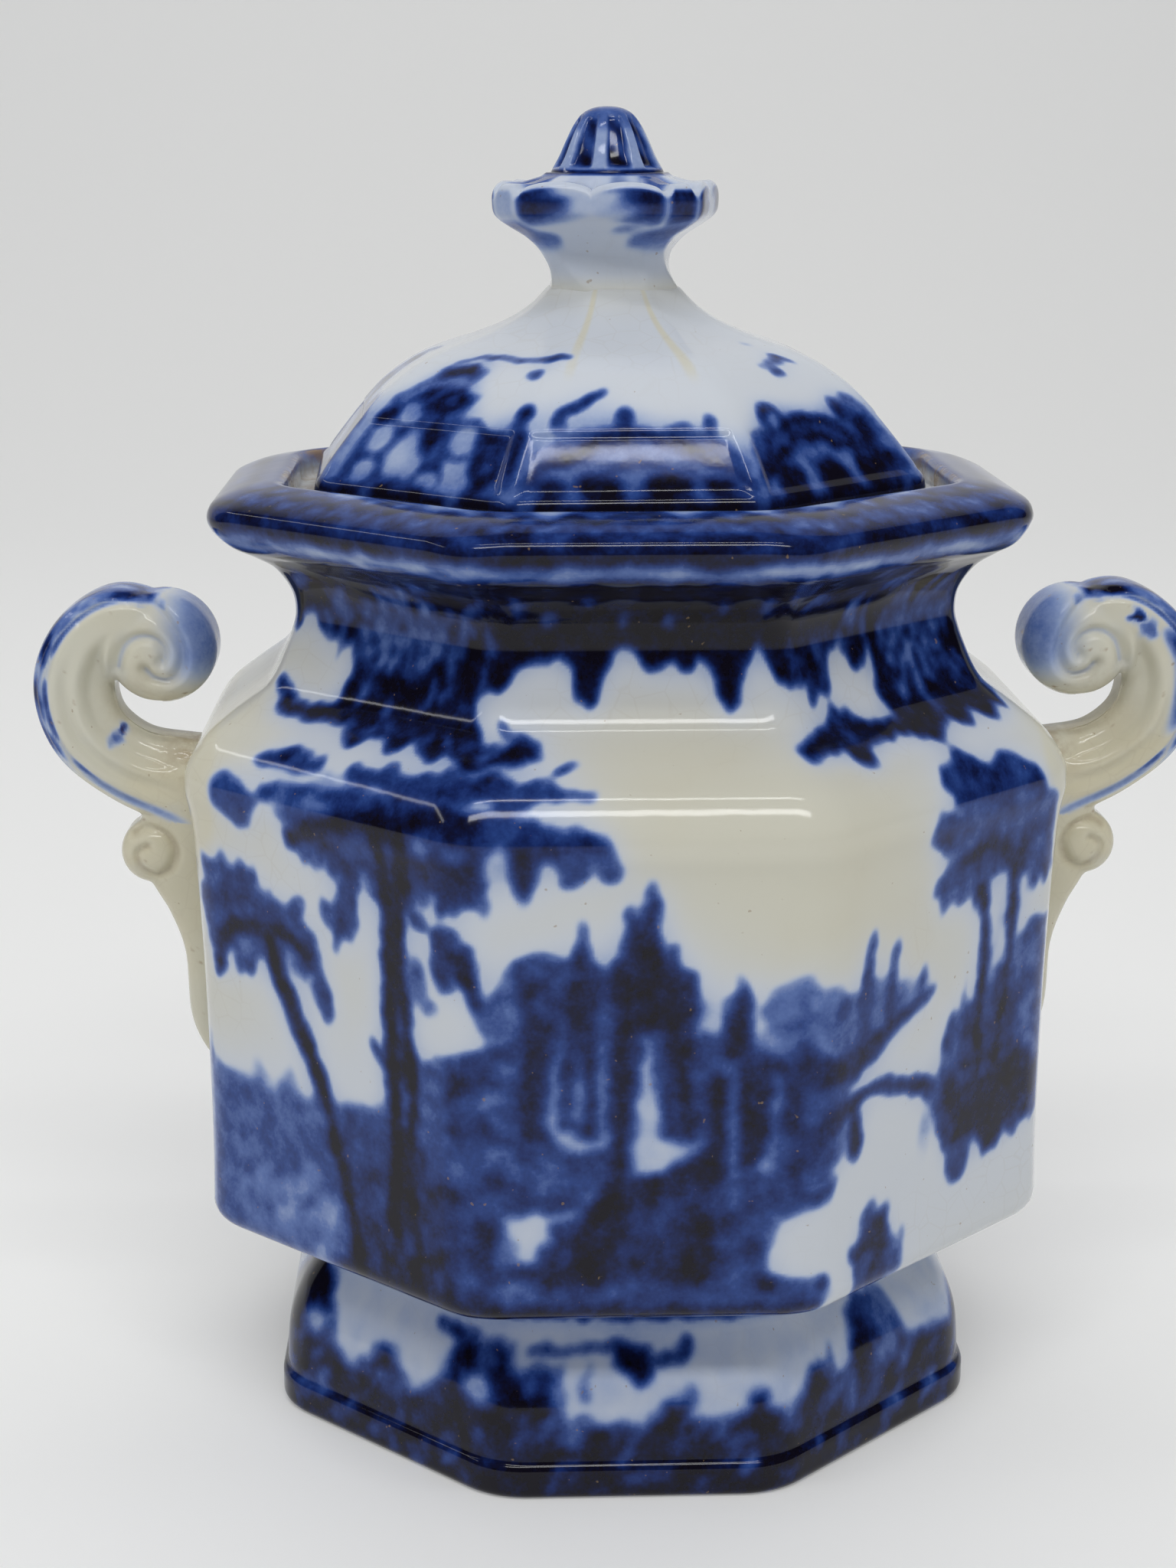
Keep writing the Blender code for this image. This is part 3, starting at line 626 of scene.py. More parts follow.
def paint_right_trees(ink):
    """A pair of slim trees with a leafy crown and a dark bush on the right."""
    ink.patch([(46.6, 103.4), (49, 104.6), (54, 104.8), (66, 104.6), (73, 104.4), (76.4, 102.4), (77.6, 98),
               (78.2, 93), (77.2, 89), (75.6, 87.6), (74.6, 90), (73, 86.8), (71.6, 89.6), (70.4, 91.4),
               (68.6, 90), (66.4, 92), (62.6, 92.4), (60, 91), (58.8, 86.6), (57.4, 90), (55.4, 88.2),
               (53, 90.4), (50.6, 87.8), (50.4, 91), (48, 91.6), (48.6, 94.4), (51, 95.6), (53.6, 96.6),
               (50, 97), (49, 99.4), (46.2, 100.2)], 0.58, 0.9, 2)
    ink.patch([(50, 107.2), (51, 109.4), (54, 110.8), (57, 111.4), (60, 110.8), (61.4, 108.4), (64, 110.8),
               (67, 111), (70, 109), (72, 107.6), (73, 104.6), (66, 104), (54, 104.2), (52.6, 106.2)],
              0.72, 0.8, 2)
    ink.dabs((51, 104, 72, 111), 26, 0.9, (0.62, 0.88), 106, 0.8, (40, 140), 1.8, only=0.5)
    random = np.random.default_rng(107)
    crowns = ((57, 98, 170, 300, 16), (62, 97, 190, 290, 14), (71, 98, 240, 370, 15),
              (53, 103, 160, 250, 20), (74, 95, 250, 330, 18))
    for x, y, *turns in crowns:
        for angle in range(*turns):
            way = math.radians(angle + random.uniform(-5, 5))
            length, tone = random.uniform(4.2, 6.4), random.uniform(0.55, 0.8)
            tip = (x + length * math.cos(way), y + length * math.sin(way), 0.3)
            middle = ((x + tip[0]) / 2, (y + tip[1]) / 2, 0.8)
            ink.line([(x, y, 0.3), middle, tip], tone, 0.8, 2)
    ink.line([(54, 95.4, 0.8), (58, 97, 1.4), (62, 97.4, 1.6), (66, 95.6, 1.5), (69, 92, 1.0)], 0.86, 1.2)
    ink.patch([(69.6, 80), (72, 83), (75, 84), (78.4, 83.4), (79.4, 80), (79.4, 53), (75, 51), (69.6, 50),
               (66.8, 48.2), (64.4, 48), (62.2, 50.6), (60, 46.2), (57, 44.6), (55.2, 47), (54.6, 50.6),
               (52.6, 54), (51.4, 58), (50.2, 61.4), (52.4, 63), (53.4, 69), (55, 73.8), (56.8, 72.6),
               (57.7, 80.4), (58.8, 74), (61, 72), (63, 74), (66.6, 76)], 0.6, 1.1, 2)
    ink.dabs((52, 47, 79, 82), 120, 1.1, (0.48, 0.78), 108, 1.1, (60, 115), 2.2, only=0.45)
    ink.dabs((70, 62, 79, 82), 30, 0.8, (0.36, 0.5), 109, 0.9, (0, 180), 1.4, only=0.45)
    ink.patch([(58, 72), (61, 74), (70, 76), (71.6, 68), (70.4, 62), (62, 62), (57.4, 64)], 0.78, 2.2, 2)
    ink.blot(66, 56.6, 11, 4.6, 0.93, 3.0)
    ink.dabs((55, 52, 77, 61), 40, 1.1, (0.84, 1.0), 110, 1.0, (20, 150), 1.6, only=0.5)
    ink.blot(65.8, 50.8, 2.2, 2.7, 0.97, 1.2)
    ink.blot(57.6, 48, 2.6, 2.6, 0.72, 1.2)
    stems = ([(60.2, 91, 1.1), (61.8, 85, 0.9), (62.1, 78, 0.9), (61.8, 70, 1.0), (61.8, 60, 1.2)],
             [(67.2, 93, 1.1), (68.4, 87, 0.9), (68.2, 79, 0.8), (67.4, 70, 1.2), (66.6, 62, 1.5)])
    for stem in stems:
        ink.line([(x, y, half + 0.3) for x, y, half in stem], 0.7, 1.0)
        ink.line([(x, y, half * 0.7) for x, y, half in stem], 0.96, 0.8)
    ink.line([(65, 89.6, 0.8), (65.2, 84, 1.4), (64.9, 78.6, 1.2)], 0.14, 1.0)
    ink.line([(64.4, 77, 0.6), (64, 71, 0.3)], 0.4, 1.2)
    ink.line([(71, 89.6, 1.0), (71.4, 86, 1.4), (70.6, 82.4, 0.8)], 0.1, 1.0)
    ink.blot(49.6, 56, 1.4, 3.4, 0.24, 2.0)


# ---------------------------------------------------------------- border prints


def chrysanthemum(ink, x, y, wide, high, seed):
    """A many-petalled flower in lighter blue on the dark border."""
    random = np.random.default_rng(seed)
    for share, petals in ((0.84, 15), (0.52, 11), (0.22, 6)):
        for i in range(petals):
            angle = math.tau * (i + random.uniform(-0.2, 0.2)) / petals
            px, py = x + wide * share * math.cos(angle), y + high * share * math.sin(angle)
            tilt = math.degrees(math.atan2(high * math.sin(angle), wide * math.cos(angle)))
            ink.blot(px, py, wide * 0.15, 1.0, 0.42 + random.uniform(-0.1, 0.14), 0.7, tilt)
    ink.blot(x, y, wide * 0.12, high * 0.12, 0.95, 0.6)


def star(ink, x, y, size, level):
    """A small pale cross."""
    ink.line([(x - size, y, 0.16), (x + size, y, 0.16)], level, 0.5, 0)
    ink.line([(x, y - size, 0.16), (x, y + size, 0.16)], level, 0.5, 0)


def paint_neck_border(ink):
    """Near-black floral band round the neck that hangs in points over the shoulder."""
    top = NECK_END + 4.4
    edge = [(-81, 127), (-78, 126), (-76.5, 129.2), (-73, 129.8), (-68, 126.6), (-62, 126.4), (-60.6, 122),
            (-61, 118.6), (-66, 117.8), (-72, 118.4), (-78, 121.2), (-79, 119.4), (-72, 116.2),
            (-66, 115.4), (-60, 115.6), (-55, 115.4), (-53, 114), (-50.5, 113.4), (-48, 115), (-45, 114.8),
            (-42, 113.6), (-39.6, 115), (-35, 113.6), (-31, 115), (-27.4, 113.6), (-24, 113.9),
            (-20, 113.8), (-17.4, 114.2), (-14.6, 115.4), (-15.6, 116.8), (-18.8, 117.9), (-21, 116.8),
            (-25, 117.2), (-28, 119), (-29, 121.6), (-26.5, 123.6), (-24.4, 122.6), (-21.4, 125.6),
            (-19, 127), (-16, 126.6), (-14, 127.8), (-12.2, 126.4), (-11, 123.2), (-8.7, 120.6),
            (-6.6, 122.4), (-5.2, 126.2), (-3.2, 129), (-1.4, 128.6), (0.5, 127), (2.6, 125.7),
            (4.6, 126.2), (6, 127.3), (7.6, 125.6), (9.8, 125.6), (11.4, 127.2), (12.6, 126.4), (13.8, 123),
            (15.4, 120), (17.4, 120.8), (18.6, 125), (20.4, 127.6), (22.2, 128.8), (23.8, 127), (25.2, 124),
            (28, 122.6), (31.6, 123.4), (34, 122), (35.6, 120.8), (37.6, 122), (39.2, 125.8), (41.4, 129),
            (43.4, 127.6), (45.2, 123.2), (47, 122.9), (49.4, 124.8), (50.6, 127), (51.4, 123.6),
            (50.2, 120), (50.8, 117.4), (44, 117.2), (40.2, 119), (37, 119.4), (32, 117.6), (27.4, 116.6),
            (24, 115.7), (26, 114.4), (31, 114.7), (35, 114.5), (36.6, 112.3), (39.8, 111.9), (39.8, 114.3),
            (45, 114.8), (50, 114.2), (53.4, 114), (56, 112.4), (58.6, 114), (62.4, 115), (65, 113.6),
            (68.6, 114.9), (72, 113.8), (75, 115.4), (77.4, 114.6), (80, 117)]
    ink.patch([(-82, top), *edge, (82, top)], 0.97, 0.9)
    for side in (-1, 1):
        left, right = sorted((side * 26, side * 76))
        ink.dabs((left, 117, right, 139), 60, 1.1, (0.7, 1.0), 70 + side, 0.9, (0, 180), 1.9, only=0.6)
        ink.dabs((left, 121, right, 139), 26, 0.7, (0.4, 0.6), 72 + side, 0.8, (0, 180), 2.6, only=0.7)
    chrysanthemum(ink, -49.6, 129.4, 11.6, 6.4, 73)
    chrysanthemum(ink, 63, 127.4, 9.6, 7.2, 74)
    leaves = ((-66, 132.6, 3.0, 30), (-69.4, 129, 2.4, 120), (-33.4, 131, 2.8, 70), (-30, 134.4, 2.2, 30),
              (-36.4, 126, 2.0, 100), (-27.4, 130, 1.8, 110), (-15.6, 133.4, 1.4, 20),
              (-42, 136.4, 2.4, 10), (45.6, 133, 2.6, 50), (49.8, 130.4, 2.2, 90), (57, 119.6, 2.0, 40),
              (62, 119, 1.8, 120), (33, 134.8, 1.8, 30), (36, 127.6, 1.6, 100), (71.6, 134, 2.6, 50),
              (74.4, 128, 2.0, 100), (-56, 119.6, 1.6, 60), (-49, 118.4, 1.4, 130), (-74, 134.6, 2.4, 20),
              (53.4, 136, 2.0, 10))
    for x, y, wide, tilt in leaves:
        ink.blot(x, y, wide, 0.85, 0.4, 0.8, tilt)
        ink.blot(x + 0.4, y - 0.3, wide * 0.6, 0.2, 0.78, 0.4, tilt)
    for x, y in ((-2.6, 133.6), (5.5, 133.2), (-8.4, 136.6), (15, 135.4), (22.6, 135.8), (-21, 135.6)):
        star(ink, x, y, 1.2, 0.38)
        ink.blot(x, y - 1.0, 0.7, 0.5, 0.44, 0.6)
    ink.patch([(-13.6, 113.9), (-12.4, 113.0), (-9.4, 114.2), (-8.6, 114.9), (-10.6, 115), (-12.6, 114.6)],
              0.93, 0.7, 2)
    ink.line([(-24, 119.6, 0.3), (-22, 118.2, 0.5), (-19, 117.4, 0.3)], 0.8, 0.7)
    for x in np.arange(-54, -22, 4.3):
        ink.blot(x, 116.2 - 0.4 * math.sin(x), 1.5, 0.55, 0.55, 0.7, 15 * math.sin(2 * x))
    paint_neck_edge(ink)


def paint_neck_edge(ink):
    """The print stops short of the handles, so the side panels stay bare."""
    bare = smooth(np.abs(ink.x), 79.6, 83.0)
    ink.ink *= 1 - bare


def paint_lip(ink):
    """Dark outer edge, then small pale marks under a row of scallops, and a pale run of glaze inside."""
    quarter = ink.across.max()
    ink.ink[:] = 0.93 - 0.26 * smooth(ink.y, 3.4, 6.5)
    ink.dabs((-quarter, 0, quarter, 3.6), 60, 0.8, (0.55, 0.85), 80, 1.2, (-12, 12), 4.0)
    ink.dabs((-quarter, 3.6, quarter, 11.5), 220, 0.8, (0.55, 0.86), 81, 0.8, (-20, 20), 2.2)
    for i, x in enumerate(np.arange(-quarter + 3, quarter, 7.4)):
        sag = 0.5 * math.sin(i * 1.9)
        ink.line([(x - 3.4, 9.8, 0.4), (x - 2.2, 7.6, 0.5), (x, 6.8 + sag, 0.5), (x + 2.2, 7.6, 0.5),
                  (x + 3.4, 9.8, 0.4)], 0.95, 0.7)
        ink.line([(x - 1.6, 5.4, 0.3), (x + sag, 4.0, 0.55), (x + 1.5, 5.3, 0.3)], 0.36, 0.7)
        ink.line([(x + 3.4, 5.9, 0.3), (x + 3.7, 4.4, 0.5)], 0.42, 0.7)
        ink.blot(x, 9.2, 1.4, 0.8, 0.42, 0.8)
    for x, wide in ((-35, 6), (-14, 4), (9, 4.4), (22, 3), (38, 6.6), (58, 4), (-58, 4)):
        ink.blot(x, 11.2, wide, 1.9, 0.2, 1.6)
    ink.blot(1.5, 10.4, 3.4, 2.0, 0.86, 1.2)
    ink.ink += (0.3 - ink.ink) * smooth(ink.y, 11.4, 12.8)


def paint_under_lip(ink):
    """Pale run of glaze under the lip between the dark neck and the dark edge."""
    quarter = ink.across.max()
    ink.ink[:] = 0.2
    ink.dabs((-quarter, 0, quarter, 4.4), 60, 0.7, (0.25, 0.55), 83, 1.2, (-10, 10), 3.4)
    ink.ink += (0.93 - ink.ink) * smooth(ink.y + 0.5 * ripple(ink.x, ink.y, 14, 85), 3.2, 4.8)
    ink.ink += (0.95 - ink.ink) * (1 - smooth(ink.y + 0.4 * ripple(ink.x, ink.y, 11, 86), 0.2, 1.6))


# ---------------------------------------------------------------- lid and foot prints


def bow(ink, middle, rise, reach, sag, half, level):
    """A bowed band over a panel of the lid: high in the middle, and lower by `sag` at its ends."""
    shares = (-1, -0.72, -0.4, 0, 0.4, 0.72, 1)
    ink.line([(middle + reach * s, rise - sag * abs(s) ** 2.2, half) for s in shares], level)


def at(middle, points):
    """The points moved round to the panel with this middle."""
    return [(middle + across, *rest) for across, *rest in points]


def arcade(ink, middle):
    """Front panel: a bowed band over dark arches."""
    ink.patch(at(middle, [(-18, 4), (-17, 12), (-9, 15.4), (9, 15.4), (17, 12), (18, 4)]), 0.52, 1.6)
    ink.dabs((middle - 17, 5, middle + 17, 15), 40, 0.8, (0.4, 0.7), round(middle + 500), 0.9, (-20, 20),
             2.4, only=0.3)
    bow(ink, middle, 13.4, 17, 6.5, 0.9, 0.86)
    bow(ink, middle, 11.4, 16, 7.5, 0.55, 0.36)
    bow(ink, middle, 9.9, 15, 6.5, 0.5, 0.8)
    for x, wide, high in ((-5.6, 3.7, 2.3), (4.4, 3.7, 2.4), (12.2, 2.6, 1.8), (-12.6, 2.4, 1.8)):
        ink.blot(middle + x, 6.6, wide + 0.7, high + 0.7, 0.36, 0.8)
        ink.blot(middle + x, 6.4, wide, high, 0.95, 0.7)
    for x, y, size in ((-1.7, 16.4, 1.6), (12.8, 15.2, 0.9), (-13, 15.2, 1.4)):
        ink.blot(middle + x, y, size, size, 0.84, 0.9)
        ink.blot(middle + x, y - 0.5, size * 0.4, size * 0.4, 0.4, 0.6)
    ink.line(at(middle, [(12.9, 12, 0.4), (13, 16.6, 0.5)]), 0.76, 0.8)


def scallops(ink, middle):
    """Panel with two bowed bands over dark scallops with pale stems between them."""
    ink.patch(at(middle, [(-18, 3), (-18, 11), (-13, 15), (-3, 16.4), (8, 15), (11, 17.4), (16.4, 18.4),
                          (17.6, 3)]), 0.5, 1.8, 2)
    ink.dabs((middle - 17, 4, middle + 17, 16), 40, 0.9, (0.42, 0.66), round(middle + 600), 0.9, (-20, 20),
             2.2, only=0.4)
    bow(ink, middle - 2, 14.6, 16, 7, 0.8, 0.9)
    bow(ink, middle - 2, 12.4, 15, 6, 0.7, 0.95)
    bow(ink, middle - 2, 10.6, 12, 4, 0.5, 0.4)
    for x, wide in ((-10.4, 3.2), (-0.6, 3.8), (8.4, 3.2)):
        ink.blot(middle + x, 6.2, wide, 3.2, 0.97, 0.9)
    for x in (-6.2, 4.4):
        ink.line([(middle + x - 1.4, 9.4, 0.5), (middle + x, 8.6, 0.8), (middle + x + 0.2, 5, 0.5)],
                 0.3, 0.9)
    ink.blot(middle - 9.6, 15.9, 3.0, 2.4, 0.9, 0.9)
    ink.blot(middle - 9.4, 15.2, 1.7, 1.4, 0.34, 0.9)
    for x, y, wide in ((9.4, 15.6, 2.0), (13.4, 12, 2.4), (14.6, 7, 2.4)):
        ink.blot(middle + x, y, wide, wide, 0.9, 1.2)
    ink.line(at(middle, [(-16, 6.4, 0.5), (-14, 4.4, 0.6)]), 0.36, 0.8)
    ink.line(at(middle, [(9.6, 4.8, 0.4), (12.6, 4.0, 0.6)]), 0.36, 0.8)


def blossoms(ink, middle):
    """Blossom panel: pale round petals with dark outlines on dark leaves."""
    ink.patch(at(middle, [(-17.4, 3), (-17, 15), (-13, 21), (-9, 25), (-4, 26), (3, 24), (0.4, 20.6),
                          (5.6, 19.4), (3.4, 14.6), (7, 13), (13, 13.6), (17.6, 17.4), (18, 3)]),
              0.52, 2.2, 2)
    ink.dabs((middle - 16, 4, middle + 17, 20), 50, 1.0, (0.42, 0.74), round(middle + 700), 0.9, (0, 180),
             1.8, only=0.45)
    petals = ((-5.4, 9.2, 4.6, 3.8), (6.4, 8.0, 4.2, 3.6), (-12.4, 12.4, 2.8, 3.4), (-12.6, 6.8, 2.4, 2.2),
              (1.2, 6.2, 2.4, 1.6), (5.6, 12.4, 3.6, 2.2), (-9, 15.6, 3.0, 2.4))
    for x, y, wide, high in petals:
        ink.blot(middle + x, y, wide + 0.7, high + 0.7, 0.9, 0.8)
        ink.blot(middle + x, y, wide, high, 0.36, 0.9)
        ink.blot(middle + x + 0.3, y - 0.3, wide * 0.8, high * 0.75, 0.1, 1.4)
    places = ((-13.4, 14.8, 2.0, 1.7, 0), (-1.4, 18, 4.2, 2.6, 10), (-5, 24.6, 5.6, 1.4, 2),
              (-7, 19.6, 3.4, 1.2, 30), (12, 8.4, 3.4, 2.8, 0), (12.4, 12.4, 4, 1.2, -8),
              (17.4, 17, 1.9, 1.4, 20), (-1.6, 12.6, 1.6, 2.6, 0), (17.6, 11, 1.4, 4, 0))
    for x, y, wide, high, tilt in places:
        ink.blot(middle + x, y, wide, high, 0.93, 1.0, tilt)
    ink.blot(middle - 1.2, 18.2, 1.6, 0.8, 0.6, 0.8, 20)
    ink.blot(middle - 3.8, 22, 4.6, 0.8, 0.32, 1.0, 8)
    ink.blot(middle + 12, 9, 1.6, 1.2, 0.6, 0.8)
    ink.line(at(middle, [(-9.6, 26.6, 0.3), (-2, 28.6, 0.5), (5, 28.4, 0.4), (12, 28.4, 0.5),
                         (17.4, 29.6, 0.9), (22, 30.2, 0.4)]), 0.82, 0.9)
    ink.blot(middle + 15.4, 25, 1.9, 1.0, 0.78, 0.9, 10)


def paint_lid(ink):
    """A panel motif on each facet above a near-black rim, and a few marks on the dome."""
    side = 74.4
    motifs = ((-side, scallops), (-37, blossoms), (0, arcade), (36.6, scallops), (side, blossoms))
    for middle, motif in motifs:
        motif(ink, middle)
    ink.line([(-13.6, 16.6, 0.5), (-11, 18.2, 0.9), (-9, 19.2, 1.2), (-7.2, 20.4, 0.8), (-5.2, 21.4, 0.4)],
             0.88, 0.9)
    ink.line([(35.6, 25.8, 0.3), (41, 26.4, 0.5), (45.6, 27.4, 1.1), (48.4, 26.2, 0.5)], 0.74, 0.9)
    ink.blot(38.6, 23.9, 2.2, 1.0, 0.84, 0.9, 6)
    ink.blot(44.4, 32.6, 1.6, 0.6, 0.3, 1.4)
    for x in (-18.6, 18.6):
        ink.line([(x, 4, 0.5), (x * 0.97, 9, 0.4), (x * 0.98, 13, 0.3)], 0.3, 0.9)
    ink.ink += (0.99 - ink.ink) * (1 - smooth(ink.y + 0.3 * ripple(ink.x, ink.y, 9, 87), 3.9, 5.2))
    for x in (-16.4, 17.2, -46, 51, -30):
        ink.line([(x, 2.4, 0.8), (x + 0.6, 4.6, 1.0)], 0.5, 1.0)


def paint_foot(ink):
    """Near-black leafy band below, whose top edge is ragged, and pale glaze with hanging sprigs above, all
    under a faint ink that is partly painted shade.
    """
    quarter = ink.across.max()
    edge = [(-92, 17), (-86, 14), (-80, 20), (-74, 26), (-68, 29), (-63, 26), (-59, 20.6), (-57.4, 15),
            (-54, 12.6), (-50, 14), (-46.5, 17.6), (-43.6, 18.6), (-42, 14.8), (-38, 12.8), (-35, 15.6),
            (-32.6, 18), (-30.4, 25.6), (-26, 24.6), (-23.4, 25.4), (-20.6, 24.6), (-19, 20), (-16, 22),
            (-13, 20.6), (-11.6, 16), (-10.2, 12.6), (-7.6, 13.4), (-4, 12.2), (-2, 13.4), (0.6, 12.4),
            (3, 14.4), (6, 16), (9, 17.6), (8.6, 14), (12, 13.2), (15.6, 13.8), (18, 16.6), (20.6, 16.8),
            (23, 14), (27, 13.6), (30, 17.6), (33, 18.6), (35.6, 16), (39, 14.6), (40.6, 18.6), (42, 24),
            (46, 23), (51, 24.6), (52.4, 18), (55, 15), (60, 15.6), (66, 14.4), (70, 19), (74, 20),
            (80, 15), (86, 18), (92, 17)]
    # a faint ink over the whole foot: a bluish-grey tint, and partly painted shade, as the foot stands in the
    # bowl's shadow
    ink.ink[:] = 0.13
    ink.patch([(-92, -3), *edge, (92, -3)], 0.98, 2.4)
    ink.dabs((-quarter, 5.5, quarter, 13.5), 130, 0.85, (0.5, 0.7), 92, 0.9, (35, 75), 2.4, only=0.6)
    ink.dabs((-quarter, 4, quarter, 14), 60, 0.6, (0.3, 0.5), 93, 0.8, (30, 80), 2.2, only=0.6)
    ink.dabs((-quarter, 0, quarter, 5), 60, 0.7, (0.62, 0.8), 94, 1.0, (-30, 60), 2.0)
    ink.dabs((-quarter, 6, quarter, 12.5), 110, 0.9, (0.86, 1.0), 95, 0.8, (35, 75), 2.4, only=0.4)
    ink.dabs((38, 15, 52, 24), 30, 1.2, (0.35, 0.8), 96, 1.2, (60, 120), 2.0, only=0.5)
    ink.blot(-24.8, 22, 2.0, 1.6, 0.5, 1.4)
    ink.blot(-16.4, 18.6, 1.4, 1.2, 0.5, 1.2)
    ink.line([(-36, 24.6, 0.6), (-30, 23.8, 0.8)], 0.8, 1.0)
    ink.line([(-17, 24.4, 0.4), (-9, 24.2, 0.5), (-3, 24.8, 0.5)], 0.78, 0.9)
    ink.patch([(-3.4, 25.4), (2.6, 25.2), (3, 22.6), (1.8, 18.6), (0.4, 18), (-1.4, 20), (-3.2, 22)],
              0.93, 1.0, 2)
    ink.line([(3, 22.2, 0.5), (6.6, 22.8, 0.6), (8.6, 24.4, 0.7), (8.8, 25.8, 0.3)], 0.84, 0.9)
    for x, tip in ((-12.6, 21), (-8, 22), (35, 19.6), (-49, 17.6)):
        ink.line([(x, tip - 5, 0.7), (x + 0.8, tip, 0.3)], 0.5, 1.0)
    for x in (-26, 25, -62, 62):
        ink.blot(x, 17.5, 3.2, 2.2, 0.16, 2.2)
    ink.ink += (0.97 - ink.ink) * smooth(ink.y, 28.2, 29.4)


# ---------------------------------------------------------------- turned and pressed pieces


def bowl_stretches():
    """The bowl's outline from under the base, over the lip and down inside, as stretches with spacings."""
    roll = 3.6
    under = [(4, BOWL_FLOOR), (WALL - roll, BOWL_FLOOR)]
    base = arc((WALL - roll, BOWL_FLOOR + roll), roll, -90, 0)
    wall = curve([(WALL, 36.6), (WALL - 0.2, 50), (WALL + 0.1, 75), (WALL + 1.0, 96), (WALL + 1.9, 102.4)],
                 12)
    shoulder = curve([(64.5, 102.4), (64.55, 103.8), (64.1, 106.6), (61.6, 110.7), (57.4, 114.3),
                      (54.1, 116.8)], 12)
    neck = curve([(54.1, 116.8), (52.6, 118.0), (51.6, 119.3), (50.7, 121.0), (49.7, 123.4), (48.7, 126.2),
                  (48.1, 129.0), (48.6, 132.4), (50.8, 135.9), (53.6, 137.9), (56.0, 139.2), (57.4, 140.4),
                  (58.5, 141.8)], 12)
    lip = curve([(58.5, 141.8), (59.25, 143.6), (58.9, 145.3), (57.7, 146.3), (54.6, 147.6), (51.4, 148.3),
                 (49.6, 148.5), (48.6, 148.0), LIP_END], 12)
    ledge = curve([LIP_END, (48.2, 145.0), (47.8, 144.5), (42.2, 144.4), (41.5, 143.4), (41.8, 138.5)], 6)
    inside = curve([(41.8, 138.5), (43.4, 128.4), (45.6, 121.5), (50.6, 115.2), (57.8, 109), (59.6, 104),
                    (58.4, 90), (58, 50), (57, 42), (54, 38.8), (49, 37.6), (38, 37.2), (4, 37.1)], 8)
    outside = [(stretch, 0.48) for stretch in (wall, shoulder, neck, lip)]
    return [(under, 12), (base, 0.7), *outside, (ledge, 1.0), (inside, 3.6)]


def make_bowl(glaze):
    """The bowl, printed from its base to the end of its lip and bare inside."""
    profile = profile_of(*bowl_stretches())
    cut = np.interp(profile[:, 1], [34, 104, 118, 138, 143, 146], [4.5, 5, 3.4, 3.4, 4.5, 6.5])
    cut[np.argmax(profile[:, 1]) :] = 5.0
    skin = OctagonSkin(profile, WALL, cut, (0.47, 2.2, 0.8))
    height = profile[:, 1]
    outer = np.arange(len(profile)) <= np.argmax(height)
    start = int(np.argmax(height > BOWL_FLOOR + 0.05)) - 1
    waist = int(np.flatnonzero(outer & (height <= NECK_END))[-1])
    brim = int(np.flatnonzero(outer & (height <= LIP_START))[-1])
    end = row_at(profile, LIP_END)
    rows = np.arange(start, waist + 1)
    skin.paint(rows, height[rows], paint_wall, 0.34, 3)
    rows = np.arange(waist + 1, brim + 1)
    skin.paint(rows, lengths_along(profile[rows]), paint_under_lip, 0.3, 5)
    rows = np.arange(brim + 1, end + 1)
    skin.paint(rows, lengths_along(profile[rows]), paint_lip, 0.25, 7)
    skin.cool[outer] = 0.36 * (1 - smooth(height[outer], 45, 82))[:, None]
    beside_handles = smooth(np.abs(skin.points[outer][:, :, 0]), 61, 64.5)
    skin.cool[outer] -= 0.4 * (beside_handles * smooth(height[outer], 88, 104)[:, None])
    skin.points[:, :, 0] += LIP_SHIFT * smooth(skin.points[:, :, 2], 136, 143)
    gallery = slice(end - 4, end + 14)
    ring = skin.points[gallery]
    skin.stain[gallery] = 0.55 + 0.35 * ripple(ring[:, :, 0], ring[:, :, 1] + ring[:, :, 2], 9, 9)
    return skin.build("bowl_shell", glaze)


def make_foot(glaze):
    """Flaring foot on a plinth band, open above and below."""
    band = np.concatenate([arc((52.0, 1.4), 1.4, -90, 0), [(FOOT, 3.9)], arc((51.8, 4.4), 1.6, 0, 62, 8)])
    skirt = curve([band[-1], (52.55, 8.0), (52.0, 14.0), (50.2, 19.2), (47.4, 24.4), (46.2, 29.0),
                   (46.4, 33.2)], 12)
    inside = curve([(41.0, 33.2), (41.4, 27.0), (45.2, 17.0), (47.6, 2.0), (48.2, 0.0)], 8)
    profile = profile_of((band, 0.5), (skirt, 0.5), (inside, 2.5), ([(48.2, 0), band[0]], 2.5))[:-1]
    skin = OctagonSkin(profile, FOOT, 5.5, (0.47, 1.2, 0.8), closed=True)
    rows = np.arange(0, int(np.argmax(profile[:, 1] > 33.1)) + 1)
    skin.paint(rows, lengths_along(profile[rows]), paint_foot, 0.4, 11)
    # a blue-white tint over the whole foot, partly painted shade as the foot stands in the bowl's shadow
    skin.cool[:] = 0.2
    return skin.build("foot_ring", glaze, haze=0.4)


